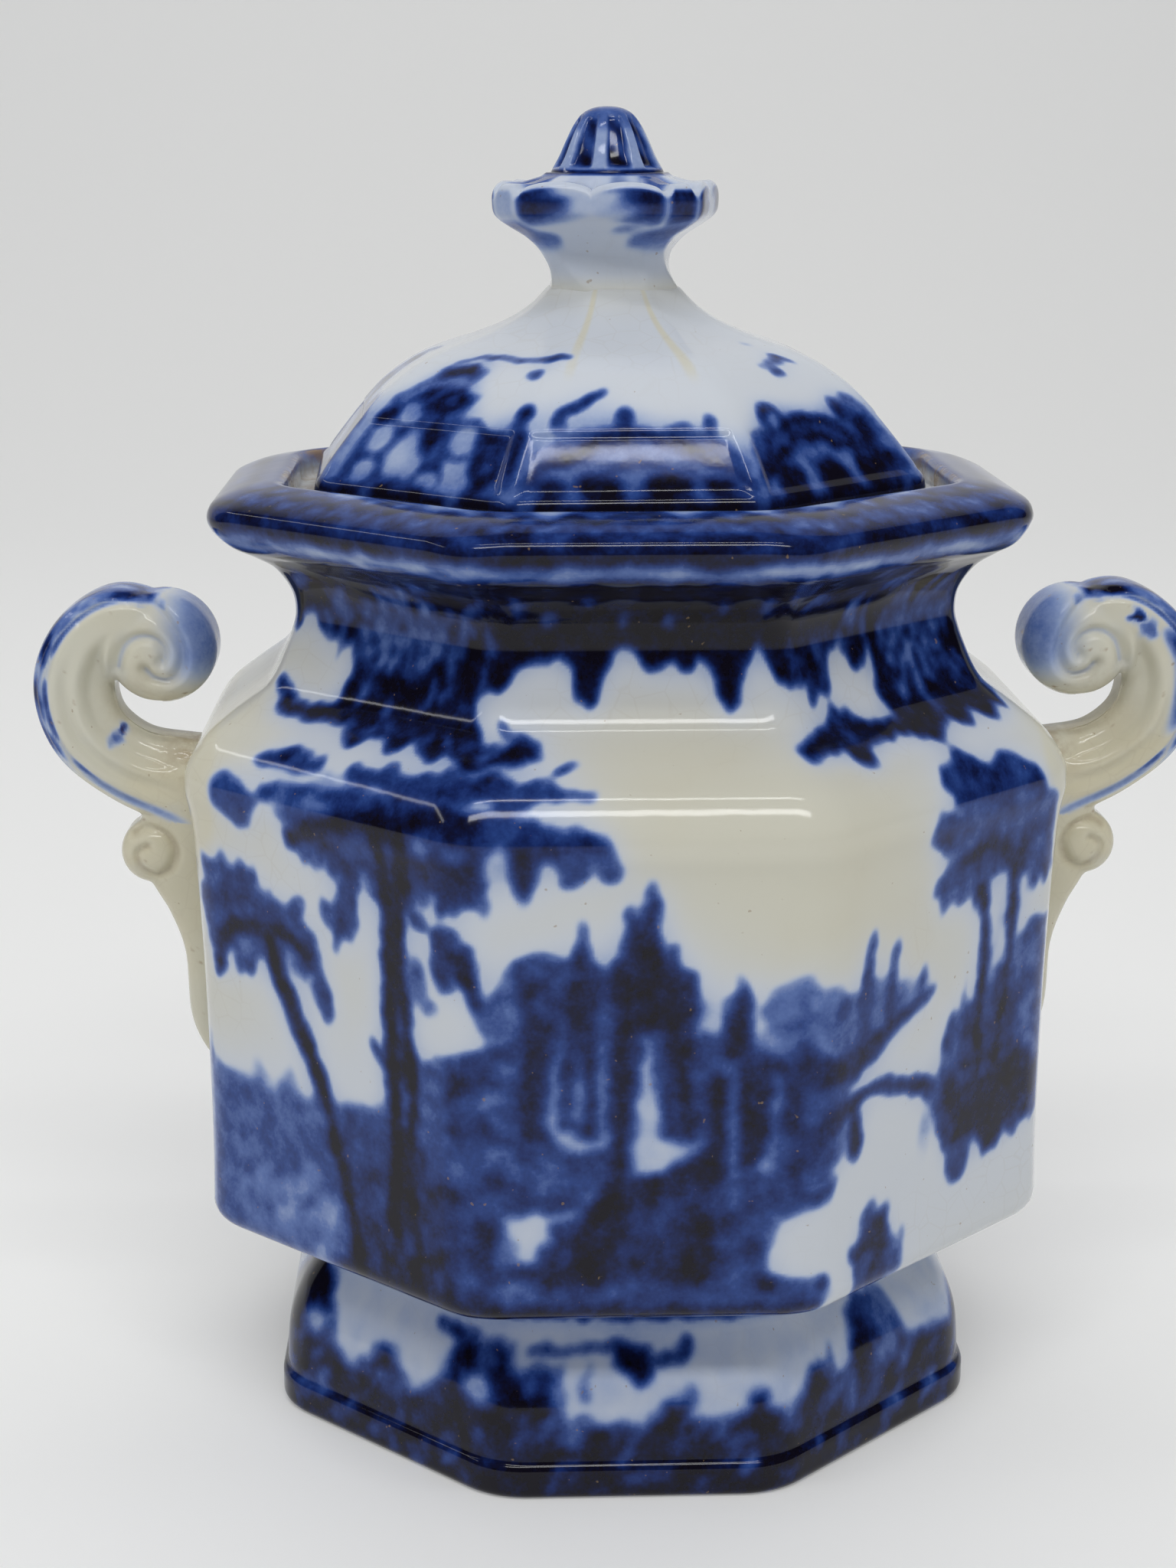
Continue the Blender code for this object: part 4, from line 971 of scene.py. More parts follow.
def make_lid(glaze):
    """The loose lid: dome and rim outside, locating ring and hollow underneath."""
    corner = (LID, 144.7)
    rim = np.concatenate([[corner, (LID, 146.4)], curve([(LID, 147.2), (44.0, 148.6), (43.2, 149.9)], 8)])
    dome = curve([(43.2, 149.9), (42.4, 151.2), (39.9, 154.6), (37.2, 158.0), (33.8, 161.7), (29.6, 164.9),
                  (25.4, 167.0), (19.8, 169.0), (15.4, 171.0), (12.4, 173.0), (10.6, 174.8), (9.5, 176.0),
                  (8.6, 176.3)], 12)
    under = curve([corner, (39, 144.7), (39, 139.4), (38.4, 138.8), (35.4, 138.8), (34.8, 139.4),
                   (35.2, 144), (36.8, 149.4), (35.2, 154.2), (31.4, 158.6), (24, 162.8), (12, 165.6),
                   (1, 165.8)], 3)
    profile = profile_of((under[::-1], 1.6), (rim, 0.5), (dome, 0.5))
    cut = np.interp(lengths_along(profile), [0, 60, 90, 110, 125], [2.5, 2.5, 2.2, 2.6, 5])
    skin = OctagonSkin(profile, LID, cut, (0.47, 0.8, 0.8))
    rows = np.arange(row_at(profile, corner), len(profile))
    up = lengths_along(profile[rows])
    lift = 1.5 * smooth(up, 9, 16)  # the dome's marks sit this much higher than they are drawn
    skin.paint(rows, up - lift, paint_lid, 0.3, 13)
    sink_panels(skin, rows)
    up = up[:, None]  # creamy streaks run up the dome beside its front panel
    beside = np.abs(np.abs(skin.across)[None, :] - 13.4 - 0.15 * (up - 26))
    streak = (1 - smooth(beside, 0.5, 2.6)) * smooth(up, 20, 30)
    skin.cool[rows] = 0.5 * (1 - 0.8 * streak) * (1 - 0.4 * smooth(up, 40, 50))
    lid = skin.build("lid_dome", glaze, haze=0.55)
    seat_on_lid(lid)
    return lid


def sink_panels(skin, rows):
    """Presses each panel of the lid's border in a little, so its outline catches the light."""
    depth, half_width, bottom, top, edge = 0.55, 17.4, 4.6, 15.8, 1.4
    up = lengths_along(skin.profile[rows])[:, None]
    panel = np.mod(skin.across - FRONT_FACET * LID, UNIT_ROUND * LID / 8) - UNIT_ROUND * LID / 16
    beside = half_width - np.abs(panel)[None, :]
    inside = smooth(np.minimum(beside, np.minimum(up - bottom, top - up)), 0.0, edge)
    out = skin.points[rows][:, :, :2]
    away = out / np.linalg.norm(out, axis=2, keepdims=True)
    skin.points[rows, :, :2] -= away * (depth * inside)[:, :, None]


def seat_on_lid(obj):
    """Moves a mesh made about the lid's own axis to where the loose lid stands."""
    obj.data.transform(Matrix.Translation((LID_SHIFT * MM, 0, 0)) @ Matrix.Rotation(LID_TURN, 4, "Z"))


def squared_ring(half, cut, turn, angles):
    """Radius of a square with cut corners at each angle, its edges slightly rounded."""
    straight = np.mod(angles - turn + math.pi / 4, math.pi / 2) - math.pi / 4
    slant = np.mod(angles - turn, math.pi / 2) - math.pi / 4
    side = half / np.cos(straight)
    corner = (2 * half - cut) / math.sqrt(2) / np.cos(slant)
    power = 36  # the edges are sharper the higher it is
    return (side**-power + corner**-power) ** (-1 / power)


def flange_ring(half, height, cut, turned, angles):
    """One ring of the finial's waist or flange, and its ink: pools on the flange, runs below it, and a faint
    blue-grey that on the neck is painted shade under the flange.
    """
    x, y = np.cos(angles), np.sin(angles)
    turn = FINIAL_TURN * turned
    radius = squared_ring(half, cut, turn, angles)
    along = np.tan(np.mod(angles - turn + math.pi / 4, math.pi / 2) - math.pi / 4)
    beside = np.abs(along)  # 0 in the middle of a face, 1 on a corner
    lobes = np.abs(np.sin(math.pi * np.clip(beside, 0, 0.7) / 0.7)) ** 0.55
    lobes = np.maximum(lobes, 0.75 * smooth(beside, 0.76, 0.86))
    raised = smooth(height, 188.6, 191.2) * smooth(half, 9.5, 13.5)
    ring = np.stack([radius * x, radius * y, height + raised * (1.3 * lobes - 1.6)], 1)
    above = smooth(height, 175, 182)
    ring[:, 0] *= WIDTH_RATIO + (1 - WIDTH_RATIO) * above
    ring[:, 0] += FINIAL_SHIFT * above

    flow = 0.08 * np.sin(5 * angles + 0.9 * height) + 0.06 * np.sin(11 * angles - 1.7 * height)
    face = smooth(height, 184.2 + 8 * flow, 187.8) * smooth(half, 12.5, 15.2)
    pool = face * (0.16 + 0.66 * smooth(beside + flow, 0.1, 0.56)) * (1 - smooth(beside, 0.66, 0.74))
    pool += face * smooth(beside, 0.74, 0.82) * (0.2 + 0.65 * smooth(x, -0.1, 0.5))
    brim = smooth(height, 191.0, 191.5)
    run = 0.5 * smooth(height, 179.5, 185) * (1 - face) * smooth(beside + 2 * flow, 0.25, 0.8)
    # a faint ink over the finial above its foot: a blue-grey tint, and on the neck painted shade under the
    # flange
    run = np.maximum(run, 0.11 * smooth(height, 174.5, 179) + 0 * x)
    plate = 0.13 * smooth(height, 191.7, 192.0) + 0.7 * smooth(height, 192.6, 192.9)
    return ring, np.maximum.reduce([pool * (1 - 0.9 * brim), run, plate * (half < 14.5) + 0 * x])


def knob_ring(radius, height, angles):
    """One ring of the ribbed knob, and its ink: cobalt lies in the hollows between the ribs."""
    x, y = np.cos(angles), np.sin(angles)
    gap = np.abs(np.mod(angles - FINIAL_TURN + math.pi / 8, math.pi / 4) - math.pi / 8)
    hollow = smooth(gap, 0.10, 0.22) * smooth(height, 193.4, 194.2) * (1 - smooth(height, 200.4, 202.0))
    radii = radius * (1 - 0.11 * hollow)
    ring = np.stack([radii * x + FINIAL_SHIFT, radii * y, np.full(len(angles), height)], 1)
    tone = 0.68 + 0.16 * np.sin(9 * angles + 1.3 * height) + 0.2 * (1 - smooth(height, 194, 197))
    crown = 0.24 * smooth(height, 198.5, 201)
    foot = 0.85 * (1 - smooth(height, 193.2, 193.8))
    return ring, np.maximum.reduce([tone * hollow, crown + 0.22 + 0 * x, foot + 0 * x])


def make_finial(glaze):
    """Waisted square neck, a square flange with two scallops to a side, and a ribbed knob."""
    sections = curve([(9.5, 174.4, 5.5, 0.0), (9.4, 175.8, 5.3, 0.1), (9.0, 177.2, 4.2, 0.3),
                      (8.8, 179.2, 3.0, 0.6), (9.5, 181.6, 2.6, 0.9), (11.2, 183.6, 2.8, 1.0),
                      (13.6, 185.2, 3.8, 1.0), (15.2, 186.4, 4.6, 1.0), (15.9, 187.6, 5.0, 1.0),
                      (16.0, 190.0, 5.0, 1.0), (15.8, 191.4, 5.0, 1.0), (15.1, 192.1, 4.8, 1.0),
                      (14.0, 192.1, 4.6, 1.0), (12.0, 192.0, 4.6, 1.0), (9.8, 192.4, 4.8, 1.0),
                      (8.9, 193.0, 5.0, 1.0)], 7)
    knob = curve([(8.6, 193.0), (8.2, 193.8), (7.3, 195.4), (6.4, 197.4), (5.3, 199.6), (4.1, 201.3),
                  (2.8, 202.2), (1.4, 202.6), (0.12, 202.7)], 8)
    count = 320
    angles = np.arange(count) * math.tau / count
    made = [flange_ring(*section, angles) for section in sections]
    made += [knob_ring(radius, height, angles) for radius, height in knob]
    rings, inks = zip(*made)
    skin = Skin(rings)
    skin.ink = np.clip(np.array(inks), 0, 1)
    skin.cool[:] = 0.3 * smooth(skin.points[:, :1, 2], 174, 184)
    finial = skin.build("finial_knob", glaze, 0.3)
    seat_on_lid(finial)
    return finial


# ---------------------------------------------------------------- handles

ARM = [(61.5, 96.4, 19.0, 13.0), (70.0, 98.8, 15.0, 13.6), (78.0, 101.8, 12.6, 14.4),
       (84.2, 107.2, 12.6, 15.0), (86.2, 114.4, 12.8, 15.0), (84.2, 120.8, 12.0, 15.0),
       (79.4, 125.0, 10.4, 15.0), (74.6, 125.3, 8.2, 14.6), (70.6, 124.4, 6.0, 13.4)]
TAIL = [(64.0, 53.6, 7.0, 5.0), (65.6, 60.0, 9.0, 7.4), (66.4, 71.0, 8.6, 8.4), (68.0, 79.0, 10.4, 9.4),
        (70.6, 87.0, 12.6, 10.6), (69.0, 95.0, 15.0, 12.0)]
ARM_STEPS = 24
EYE = (73.6, 119.4)
OUTER_SCROLL = [(73.4, 128.4), (71.0, 126.2), (69.2, 123.4), (68.4, 120.4), (69.0, 117.8), (70.8, 116.4),
                (73.0, 116.8), (74.2, 118.0)]
INNER_SCROLL = [(78.6, 118.2), (77.6, 121.2), (75.9, 122.9), (73.8, 123.3), (71.9, 122.5), (71.0, 120.8),
                (71.6, 119.3)]
SMALL_SCROLL = [(77.6, 90.8), (75.2, 92.0), (72.4, 91.0), (71.0, 88.4), (71.8, 85.6), (74.2, 84.4),
                (76.6, 85.6), (77.0, 88.0), (75.4, 89.0)]
STEP = [(76.5, 129.4), (80, 128.6), (82.4, 127.4)]
LEFT_SPOTS = (((78.4, 108.3), 1.1, 0.95), ((79.4, 106.8), 1.4, 0.4))  # place, size, level
RIGHT_SPOTS = (((80.4, 125.6), 1.3, 0.97), ((82.6, 123.6), 2.0, 0.4))


def tube(path):
    """Swept bar in the XZ plane with rounded-square sections: points and faces."""
    sides, squareness = 28, 0.62
    stations = curve(path, 10)
    turns = np.arange(sides) * math.tau / sides
    c, s = np.cos(turns), np.sin(turns)
    flat = np.stack([np.sign(c) * np.abs(c) ** squareness, np.sign(s) * np.abs(s) ** squareness], 1)
    way = np.gradient(stations[:, :2], axis=0)
    way /= np.linalg.norm(way, axis=1, keepdims=True)
    side = np.stack([-way[:, 1], way[:, 0]], 1)
    rings = []
    for (x, z, thick, width), (sx, sz) in zip(stations, side):
        off = flat[:, 0] * thick / 2
        rings.append(np.stack([x + sx * off, flat[:, 1] * width / 2, z + sz * off], 1))
    return ring_faces(np.array(rings))


def barrel(x, z, radius, width, edge):
    """Short bar along Y with rounded rims: points and faces."""
    sides = 48
    flat = width / 2 - edge
    front = arc((radius - edge, -flat), edge, -90, 0, 8)
    back = arc((radius - edge, flat), edge, 0, 90, 8)
    profile = np.concatenate([[(0.3, -width / 2)], front, back, [(0.3, width / 2)]])
    turns = np.arange(sides) * math.tau / sides
    c, s = np.cos(turns), np.sin(turns)
    rings = [np.stack([x + r * c, np.full(sides, y), z + r * s], 1) for r, y in profile]
    return ring_faces(np.array(rings))


def ring_faces(rings):
    """Points and faces of a closed bar through these rings of points."""
    count, sides = rings.shape[:2]
    index = np.arange(count * sides).reshape(count, sides)
    quads = np.stack([index[:-1], np.roll(index[:-1], -1, 1), np.roll(index[1:], -1, 1), index[1:]], -1)
    faces = quads.reshape(-1, 4).tolist()
    faces += [index[0].tolist()[::-1], index[-1].tolist()]
    return rings.reshape(-1, 3), faces


def fuse(shapes, voxel):
    """One closed surface round overlapping shapes, as points and faces."""
    bm = bmesh.new()
    for points, faces in shapes:
        made = [bm.verts.new(p) for p in points]
        for face in faces:
            bm.faces.new([made[i] for i in face])
        bmesh.ops.recalc_face_normals(bm, faces=bm.faces)
    mesh = bpy.data.meshes.new("fused")
    bm.to_mesh(mesh)
    bm.free()
    obj = bpy.data.objects.new("fused", mesh)
    bpy.context.collection.objects.link(obj)
    step = obj.modifiers.new("skin", "REMESH")
    step.mode = "VOXEL"
    step.voxel_size = voxel
    relax = obj.modifiers.new("relax", "SMOOTH")
    relax.factor = 0.5
    relax.iterations = 5
    graph = bpy.context.evaluated_depsgraph_get()
    whole = bpy.data.meshes.new_from_object(obj.evaluated_get(graph))
    points = np.empty(len(whole.vertices) * 3, np.float32)
    whole.vertices.foreach_get("co", points)
    faces = [tuple(p.vertices) for p in whole.polygons]
    bpy.data.objects.remove(obj)
    bpy.data.meshes.remove(whole)
    bpy.data.meshes.remove(mesh)
    return points.reshape(-1, 3).astype(float), faces


def along_arm(x, z):
    """Where each point lies beside the arm: distance along it, how far across (1 is the outer edge)."""
    stations = curve(ARM, ARM_STEPS)
    done = lengths_along(stations[:, :2])
    way = np.gradient(stations[:, :2], axis=0)
    way /= np.linalg.norm(way, axis=1, keepdims=True)
    best = np.full(len(x), 1e9)
    found = np.zeros((2, len(x)))
    for (sx, sz, thick, _), (wx, wz), place in zip(stations, way, done):
        gap = np.hypot(x - sx, z - sz)
        nearer = gap < best
        across = ((x - sx) * wz - (z - sz) * wx) / (thick / 2)
        best = np.where(nearer, gap, best)
        found = np.where(nearer, [np.full(len(x), place), across], found)
    return found


def gap_to(x, z, points):
    """Distance to a curve through points."""
    return np.minimum.reduce([gap for gap, _ in stretch_gaps(x, z, curve(points, 12))])


def carve_handle(points):
    """Cuts the scroll lines, the cove and the outer moulding into the front and back faces."""
    x, y, z = points.T
    place, across = along_arm(x, z)
    total = lengths_along(curve(ARM, ARM_STEPS)[:, :2])[-1]
    clear_of_eye = smooth(np.hypot(x - EYE[0], z - EYE[1]), 6.5, 8.5)
    on_arm = smooth(place, 6, 16) * (1 - smooth(place, total - 12, total - 3)) * (z > 94)
    outer, inner, small = (gap_to(x, z, scroll) for scroll in (OUTER_SCROLL, INNER_SCROLL, SMALL_SCROLL))
    cut = 0.9 * ridge(across, 0.62, 0.1) * on_arm
    cut += 0.5 * ridge(across, 0.84, 0.06) * on_arm
    cut += 0.85 * ridge(across, 0.12, 0.15) * on_arm * (1 - smooth(place, total - 26, total - 14))
    cut += 2.1 * smooth(-across, 0.1, 0.6) * on_arm * clear_of_eye
    cut += 0.35 * ridge(across, -0.42, 0.08) * on_arm * clear_of_eye
    cut += 1.5 * ridge(outer, 0, 0.95)
    cut += 1.3 * ridge(inner, 0, 0.9)
    cut += 0.9 * ridge(small, 0, 0.7)
    cut += 0.45 * ridge(gap_to(x, z, STEP), 0, 0.45)
    points[:, 1] -= np.sign(y) * cut * smooth(np.abs(y), 2.0, 4.5)
    return place, across, outer, inner, small


def handle_ink(points, across, place, outer, inner, side):
    """Feathered cobalt along the spine and in the groove beside it, a blue-grey tint on the volute beside the
    bowl that is partly painted shade, and faint painted shade along the scroll grooves.
    """
    x, y, z = points.T
    right = side > 0
    strong = 1.0 if right else 0.8
    face = smooth(np.abs(y), 2.5, 4.5)
    spine = smooth(across, 0.58, 0.82) * smooth(z, 99, 108) * smooth(x, 69.5, 74)
    feather = 0.5 + 0.5 * np.sin(place * 1.15 + 2.2 * np.sin(y * 0.5) + np.abs(y) * 0.5)
    blotch = 0.5 + 0.22 * ripple(place, y * 1.4, 6, 17) + 0.12 * ripple(place, y, 2.4, 18)
    ink = spine * np.clip(0.2 + 0.75 * feather * blotch + 0.4 * blotch, 0, 1) * strong
    groove = ridge(across, 0.62, 0.075) * smooth(np.abs(y), 3, 5)
    reach = smooth(z, 96.5, 104) * smooth(x, 72, 78)
    trickle = np.clip(0.42 + 0.3 * ripple(place, y, 7, 24), 0.15, 0.9)
    ink = np.maximum(ink, groove * reach * trickle * strong)
    low = ridge(across, 0.66, 0.13) * smooth(x, 66, 72) * (1 - smooth(z, 99, 104)) * (z > 93)
    ink = np.maximum(ink, 0.24 * low)
    run = ridge(across, 0.42, 0.2) * smooth(z, 105, 111) * (1 - smooth(z, 121, 126)) * (x > 78)
    ink = np.maximum(ink, run * (0.5 + 0.3 * ripple(place, y, 5, 19)) * face * right)
    drift = 0.5 * ripple(x, z, 2.2, 23)
    for (sx, sz), size, level in RIGHT_SPOTS if right else LEFT_SPOTS:
        near = np.exp(-(((x + drift - sx) ** 2 + (z - 0.6 * drift - sz) ** 2) / (0.8 * size) ** 2))
        ink = np.maximum(ink, level * near * face * (y < 0))
    # blue-grey on the volute's side next to the bowl: partly a cobalt tint, partly painted shade between
    # handle and bowl
    tint_and_shade = ridge(x, 64.6, 6.4) * smooth(z, 111, 121)
    ink = np.maximum(ink, 0.31 * tint_and_shade)
    # a faint darkening along the scroll grooves: painted shade in the grooves
    scroll = np.maximum(ridge(outer, 0, 0.5), ridge(inner, 0, 0.5)) * face
    cloud = 0.05 * smooth(ripple(x, z, 9, 25), 0.2, 1.6) * face
    return np.clip(np.maximum.reduce([ink, 0.13 * scroll, cloud]), 0, 1)


def make_handle(name, side, glaze):
    """One handle, made for the right side of the bowl and mirrored when `side` is -1."""
    shapes = [tube(ARM), barrel(72.2, 120.7, 8.7, 16.2, 5.6), barrel(74.8, 87.6, 5.2, 11.4, 3.6),
              tube(TAIL)]
    points, faces = fuse(shapes, 0.42)
    place, across, outer, inner, small = carve_handle(points)
    ink = handle_ink(points, across, place, outer, inner, side)
    x, y, z = points.T
    halo = np.clip(ink * 1.2 + 0.1 * smooth(x, 84, 92), 0, 1)
    root = (1 - smooth(x, 66, 76)) * smooth(z, 96, 104) * (1 - smooth(z, 110, 114))
    pits = smooth(ripple(x, z, 1.6, 21) + ripple(y, z, 1.9, 22), 2.2, 2.9)
    crook = 1 - smooth(np.hypot(x - 76, z - 112), 3, 9)
    stain = np.clip(0.6 * root + 0.85 * pits + 0.15 * crook, 0, 1)
    stain = np.maximum(stain, 0.3 * ridge(small, 0, 0.5))
    points[:, 0] *= side
    return add_mesh(name, points * MM, faces, glaze, {"ink": ink, "halo": halo, "stain": stain})


# ---------------------------------------------------------------- glaze


class Nodes:
    """Short names for a material's nodes."""

    def __init__(self, tree):
        self.tree = tree
        self.place = self.add("ShaderNodeTexCoord").outputs["Object"]

    def add(self, kind, **settings):
        """A new node with these settings."""
        node = self.tree.nodes.new(kind)
        for name, value in settings.items():
            setattr(node, name, value)
        return node

    def link(self, out, into):
        """Joins two sockets."""
        self.tree.links.new(out, into)

    def feed(self, pairs):
        """Sets each socket to a number or a colour, or links it to another node's output."""
        for socket, value in pairs:
            if isinstance(value, tuple):
                socket.default_value = (*value, 1)
            elif isinstance(value, (int, float)):
                socket.default_value = value
            else:
                self.link(value, socket)

    def attribute(self, name):
        """The mesh's own numbers under this name."""
        return self.add("ShaderNodeAttribute", attribute_name=name).outputs["Fac"]

    def noise(self, scale, detail, rough=0.55):
        """Cloudy noise from 0 to 1 with this many cells to the metre."""
        node = self.add("ShaderNodeTexNoise")
        node.inputs["Scale"].default_value = scale
        node.inputs["Detail"].default_value = detail
        node.inputs["Roughness"].default_value = rough
        self.link(self.place, node.inputs["Vector"])
        return node.outputs["Fac"]

    def math(self, operation, *values, clamp=False):
        """The result of a sum on outputs and numbers."""
        node = self.add("ShaderNodeMath", operation=operation, use_clamp=clamp)
        self.feed(zip(node.inputs, values))
        return node.outputs[0]

    def fade(self, value, low, high):
        """0 below low, 1 above high, and an S curve between."""
        node = self.add("ShaderNodeMapRange", interpolation_type="SMOOTHSTEP")
        node.inputs["From Min"].default_value = low
        node.inputs["From Max"].default_value = high
        self.link(value, node.inputs["Value"])
        return node.outputs["Result"]

    def mix(self, share, first, second):
        """The first colour with this share of the second."""
        node = self.add("ShaderNodeMix", data_type="RGBA")
        self.feed(((node.inputs[0], share), (node.inputs[6], first), (node.inputs[7], second)))
        return node.outputs[2]

    def ramp(self, value, stops):
        """A colour between these stops."""
        node = self.add("ShaderNodeValToRGB")
        elements = node.color_ramp.elements
        elements[0].position, elements[1].position = stops[0][0], stops[-1][0]
        for place, _ in stops[1:-1]:
            elements.new(place)
        for element, (_, colour) in zip(elements, stops):
            element.color = (*colour, 1)
        self.link(value, node.inputs["Fac"])
        return node.outputs["Color"]


CREAM = (0.66, 0.645, 0.54)
WARM_CREAM = (0.63, 0.58, 0.42)
BLUE_WHITE = (0.63, 0.67, 0.73)
COBALT = (  # ink, colour
    (0.0, (0.57, 0.63, 0.74)),
    (0.16, (0.36, 0.45, 0.66)),
    (0.34, (0.108, 0.178, 0.44)),
    (0.55, (0.026, 0.064, 0.25)),
    (0.75, (0.011, 0.027, 0.135)),
    (0.9, (0.006, 0.009, 0.042)),
    (1.0, (0.006, 0.005, 0.011)),
)
STAIN = (0.30, 0.20, 0.10)
CRACK = (0.42, 0.36, 0.26)
CRAZE_CELLS = 260  # to the metre


def make_glaze(name, warmth):
    """Glossy glaze on cream earthenware: run cobalt, cloudy cream, pinholes, crazing and a faint ripple."""
    made = bpy.data.materials.new(name)
    made.use_nodes = True
    tree = made.node_tree
    shader = tree.nodes["Principled BSDF"]
    shader.inputs["Roughness"].default_value = 0.09
    shader.inputs["IOR"].default_value = 1.5
    shader.inputs["Specular IOR Level"].default_value = 0.27
    n = Nodes(tree)
    ink, halo, stain = n.attribute("ink"), n.attribute("halo"), n.attribute("stain")

    fine, cloud, broad = n.noise(1500, 2.0), n.noise(330, 4.0, 0.62), n.noise(28, 3.0)
    printed = n.fade(ink, 0.05, 0.6)
    grain = n.math("MULTIPLY_ADD", fine, 0.16, -0.08)
    mottle = n.math("MULTIPLY_ADD", cloud, 0.5, -0.235)
    uneven = n.math("MULTIPLY", n.math("ADD", grain, mottle), printed)
    depth = n.math("ADD", ink, uneven, clamp=True)
    cobalt = n.ramp(depth, COBALT)

    warm = n.mix(n.math("MULTIPLY", n.fade(broad, 0.38, 0.66), warmth), CREAM, WARM_CREAM)
    cool = n.math("MULTIPLY", n.fade(halo, 0.0, 0.55), 0.92)
    body = n.mix(cool, warm, BLUE_WHITE)
    craze = n.add("ShaderNodeTexVoronoi", feature="DISTANCE_TO_EDGE")
    craze.inputs["Scale"].default_value = CRAZE_CELLS
    n.link(n.place, craze.inputs["Vector"])
    crack = n.math("MULTIPLY", n.math("SUBTRACT", 1.0, n.fade(craze.outputs["Distance"], 0.0, 0.05)), 0.10)
    body = n.mix(n.math("MULTIPLY", crack, n.fade(broad, 0.48, 0.6)), body, CRACK)
    colour = n.mix(n.fade(depth, 0.0, 0.24), body, cobalt)
    speck = n.fade(n.noise(950, 1.0, 0.5), 0.765, 0.80)
    colour = n.mix(n.math("MULTIPLY", speck, 0.5), colour, STAIN)
    worn = n.math("MULTIPLY", stain, n.fade(cloud, 0.30, 0.62), clamp=True)
    colour = n.mix(worn, colour, STAIN)
    n.link(colour, shader.inputs["Base Color"])

    waves = n.math("MULTIPLY", n.noise(70, 2.0), 0.6)
    orange_peel = n.math("MULTIPLY", n.noise(420, 2.0), 0.08)
    height = n.math("ADD", waves, orange_peel)
    height = n.math("SUBTRACT", height, n.math("MULTIPLY", worn, 0.5))
    bump = n.add("ShaderNodeBump")
    bump.inputs["Strength"].default_value = 0.22
    bump.inputs["Distance"].default_value = 0.0006
    n.link(height, bump.inputs["Height"])
    n.link(bump.outputs["Normal"], shader.inputs["Normal"])
    return made


# ---------------------------------------------------------------- stage


def make_stage():
    """Seamless pale paper that curves up behind the bowl."""
    floor = [(-2.6, 0.0), (0.9, 0.0)]
    bend = [(0.9 + 1.1 * math.sin(a), 1.1 - 1.1 * math.cos(a)) for a in np.linspace(0.1, math.pi / 2, 14)]
    outline = floor + bend + [(2.0, 3.4)]
    points = [(x, y, z) for y, z in outline for x in (-3.2, 3.2)]
    faces = [(i, i + 1, i + 3, i + 2) for i in range(0, len(points) - 2, 2)]
    mesh = bpy.data.meshes.new("backdrop")
    mesh.from_pydata(points, [], faces)
    mesh.shade_smooth()
    paper = bpy.data.materials.new("backdrop_paper")
    paper.use_nodes = True
    shader = paper.node_tree.nodes["Principled BSDF"]
    shader.inputs["Base Color"].default_value = (0.70, 0.70, 0.69, 1)
    shader.inputs["Roughness"].default_value = 0.85
    shader.inputs["Specular IOR Level"].default_value = 0.1
    shader.inputs["Emission Color"].default_value = (1, 1, 0.99, 1)
    n = Nodes(paper.node_tree)
    where = n.add("ShaderNodeSeparateXYZ")
    n.link(n.place, where.inputs[0])
    # the paper glows evenly, and a little more in front of and round the bowl: painted light that lifts the
    # floor there
    near = n.math("SUBTRACT", 1.0, n.fade(where.outputs["Y"], 0.1, 1.1))
    n.link(n.math("MULTIPLY_ADD", near, 0.02, 0.187), shader.inputs["Emission Strength"])
    mesh.materials.append(paper)
    backdrop = bpy.data.objects.new("backdrop", mesh)
    bpy.context.collection.objects.link(backdrop)


MIDDLE = (0, 0, 0.1)
# name, place, target, size, watts, and whether it is seen in the glaze
LIGHTS = (
    ("top_softbox", (0.0, 0.1, 1.5), MIDDLE, (1.6, 1.2), 3.4, False),
    ("left_softbox", (-1.5, -0.5, 0.7), MIDDLE, (0.9, 1.3), 3.2, False),
    ("right_softbox", (1.5, -0.4, 0.6), MIDDLE, (0.9, 1.3), 2.9, False),
    ("front_strip", (0.0, -1.0, 1.25), MIDDLE, (1.3, 0.15), 8.4, True),
    ("left_strip", (-1.3, 0.1, 1.0), MIDDLE, (1.2, 0.05), 1.2, True),
    ("high_strip", (0.0, -0.62, 1.6), MIDDLE, (1.0, 0.06), 3.2, True),
    ("paper_light", (0.0, 0.7, 1.9), (0, 1.5, 0.3), (2.4, 0.6), 8.8, False),
)


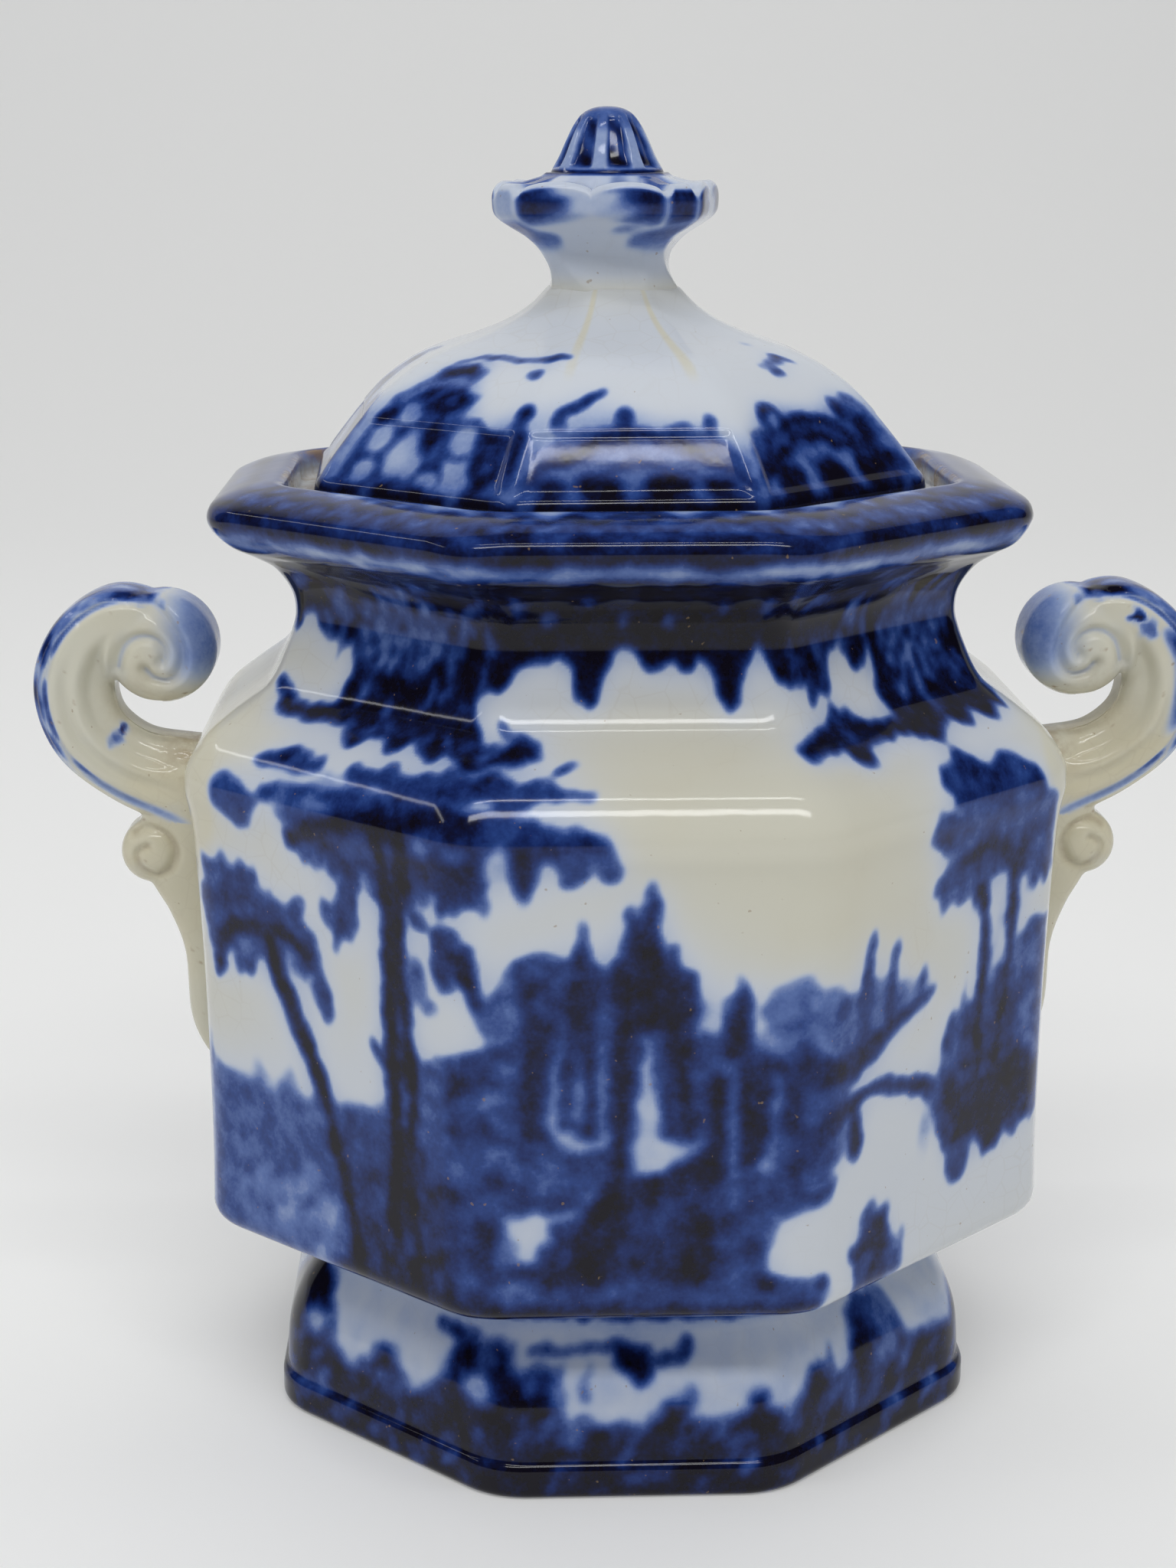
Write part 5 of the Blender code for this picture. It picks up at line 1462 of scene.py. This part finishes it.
def area_light(name, place, target, size, power, seen):
    """A rectangular light aimed at the target; `seen` lets it show up in the glaze."""
    data = bpy.data.lights.new(name, "AREA")
    data.shape = "RECTANGLE"
    data.size, data.size_y = size
    data.energy = power
    lamp = bpy.data.objects.new(name, data)
    lamp.location = place
    lamp.rotation_euler = (Vector(target) - Vector(place)).to_track_quat("-Z", "Y").to_euler()
    lamp.visible_glossy = seen
    bpy.context.collection.objects.link(lamp)


def make_lights():
    """Soft light from above and both sides, and a dim bluish world; only the strips show up in the glaze."""
    for light in LIGHTS:
        area_light(*light)
    world = bpy.data.worlds.new("studio")
    world.use_nodes = True
    world.cycles_visibility.glossy = False
    background = world.node_tree.nodes["Background"]
    background.inputs["Color"].default_value = (0.9, 0.93, 1.0, 1)
    background.inputs["Strength"].default_value = 0.16
    bpy.context.scene.world = world


def make_camera():
    """Slightly above the bowl, turned a little to its left."""
    turn, yaw, pitch = math.radians(2.79), math.radians(0.76), math.radians(14.39)
    place = Vector((0, -0.39398, 0.19829))
    right = Vector((math.cos(yaw), math.sin(yaw), 0))
    ahead = Vector((-math.sin(yaw) * math.cos(pitch), math.cos(yaw) * math.cos(pitch), -math.sin(pitch)))
    above = right.cross(ahead)
    axes = Matrix((right, above, -ahead)).transposed().to_4x4()
    data = bpy.data.cameras.new("camera")
    data.sensor_fit = "VERTICAL"
    data.sensor_height = 36
    data.lens = 57.97
    data.clip_start = 0.01
    camera = bpy.data.objects.new("camera", data)
    camera.matrix_world = Matrix.Rotation(-turn, 4, "Z") @ Matrix.Translation(place) @ axes
    bpy.context.collection.objects.link(camera)
    bpy.context.scene.camera = camera


def main():
    """Builds the pieces in the frame, then the stage, the lights and the camera."""
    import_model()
    bpy.context.scene.view_settings.view_transform = "Standard"
    make_camera()
    printed = make_glaze("printed_glaze", 0.35)
    cream = make_glaze("cream_glaze", 0.8)
    pieces = (
        (make_bowl(printed), "bowl", "bowl_body"),
        (make_foot(printed), "bowl", "pedestal_foot"),
        (make_handle("handle_scroll_left", -1, cream), "bowl", "handle_left"),
        (make_handle("handle_scroll_right", 1, cream), "bowl", "handle_right"),
        (make_lid(printed), "lid", "lid"),
        (make_finial(printed), "lid", "finial"),
    )
    for piece, body, node in pieces:
        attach(piece, body)
        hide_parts(node)
    make_stage()
    make_lights()
    bpy.context.view_layer.update()


main()
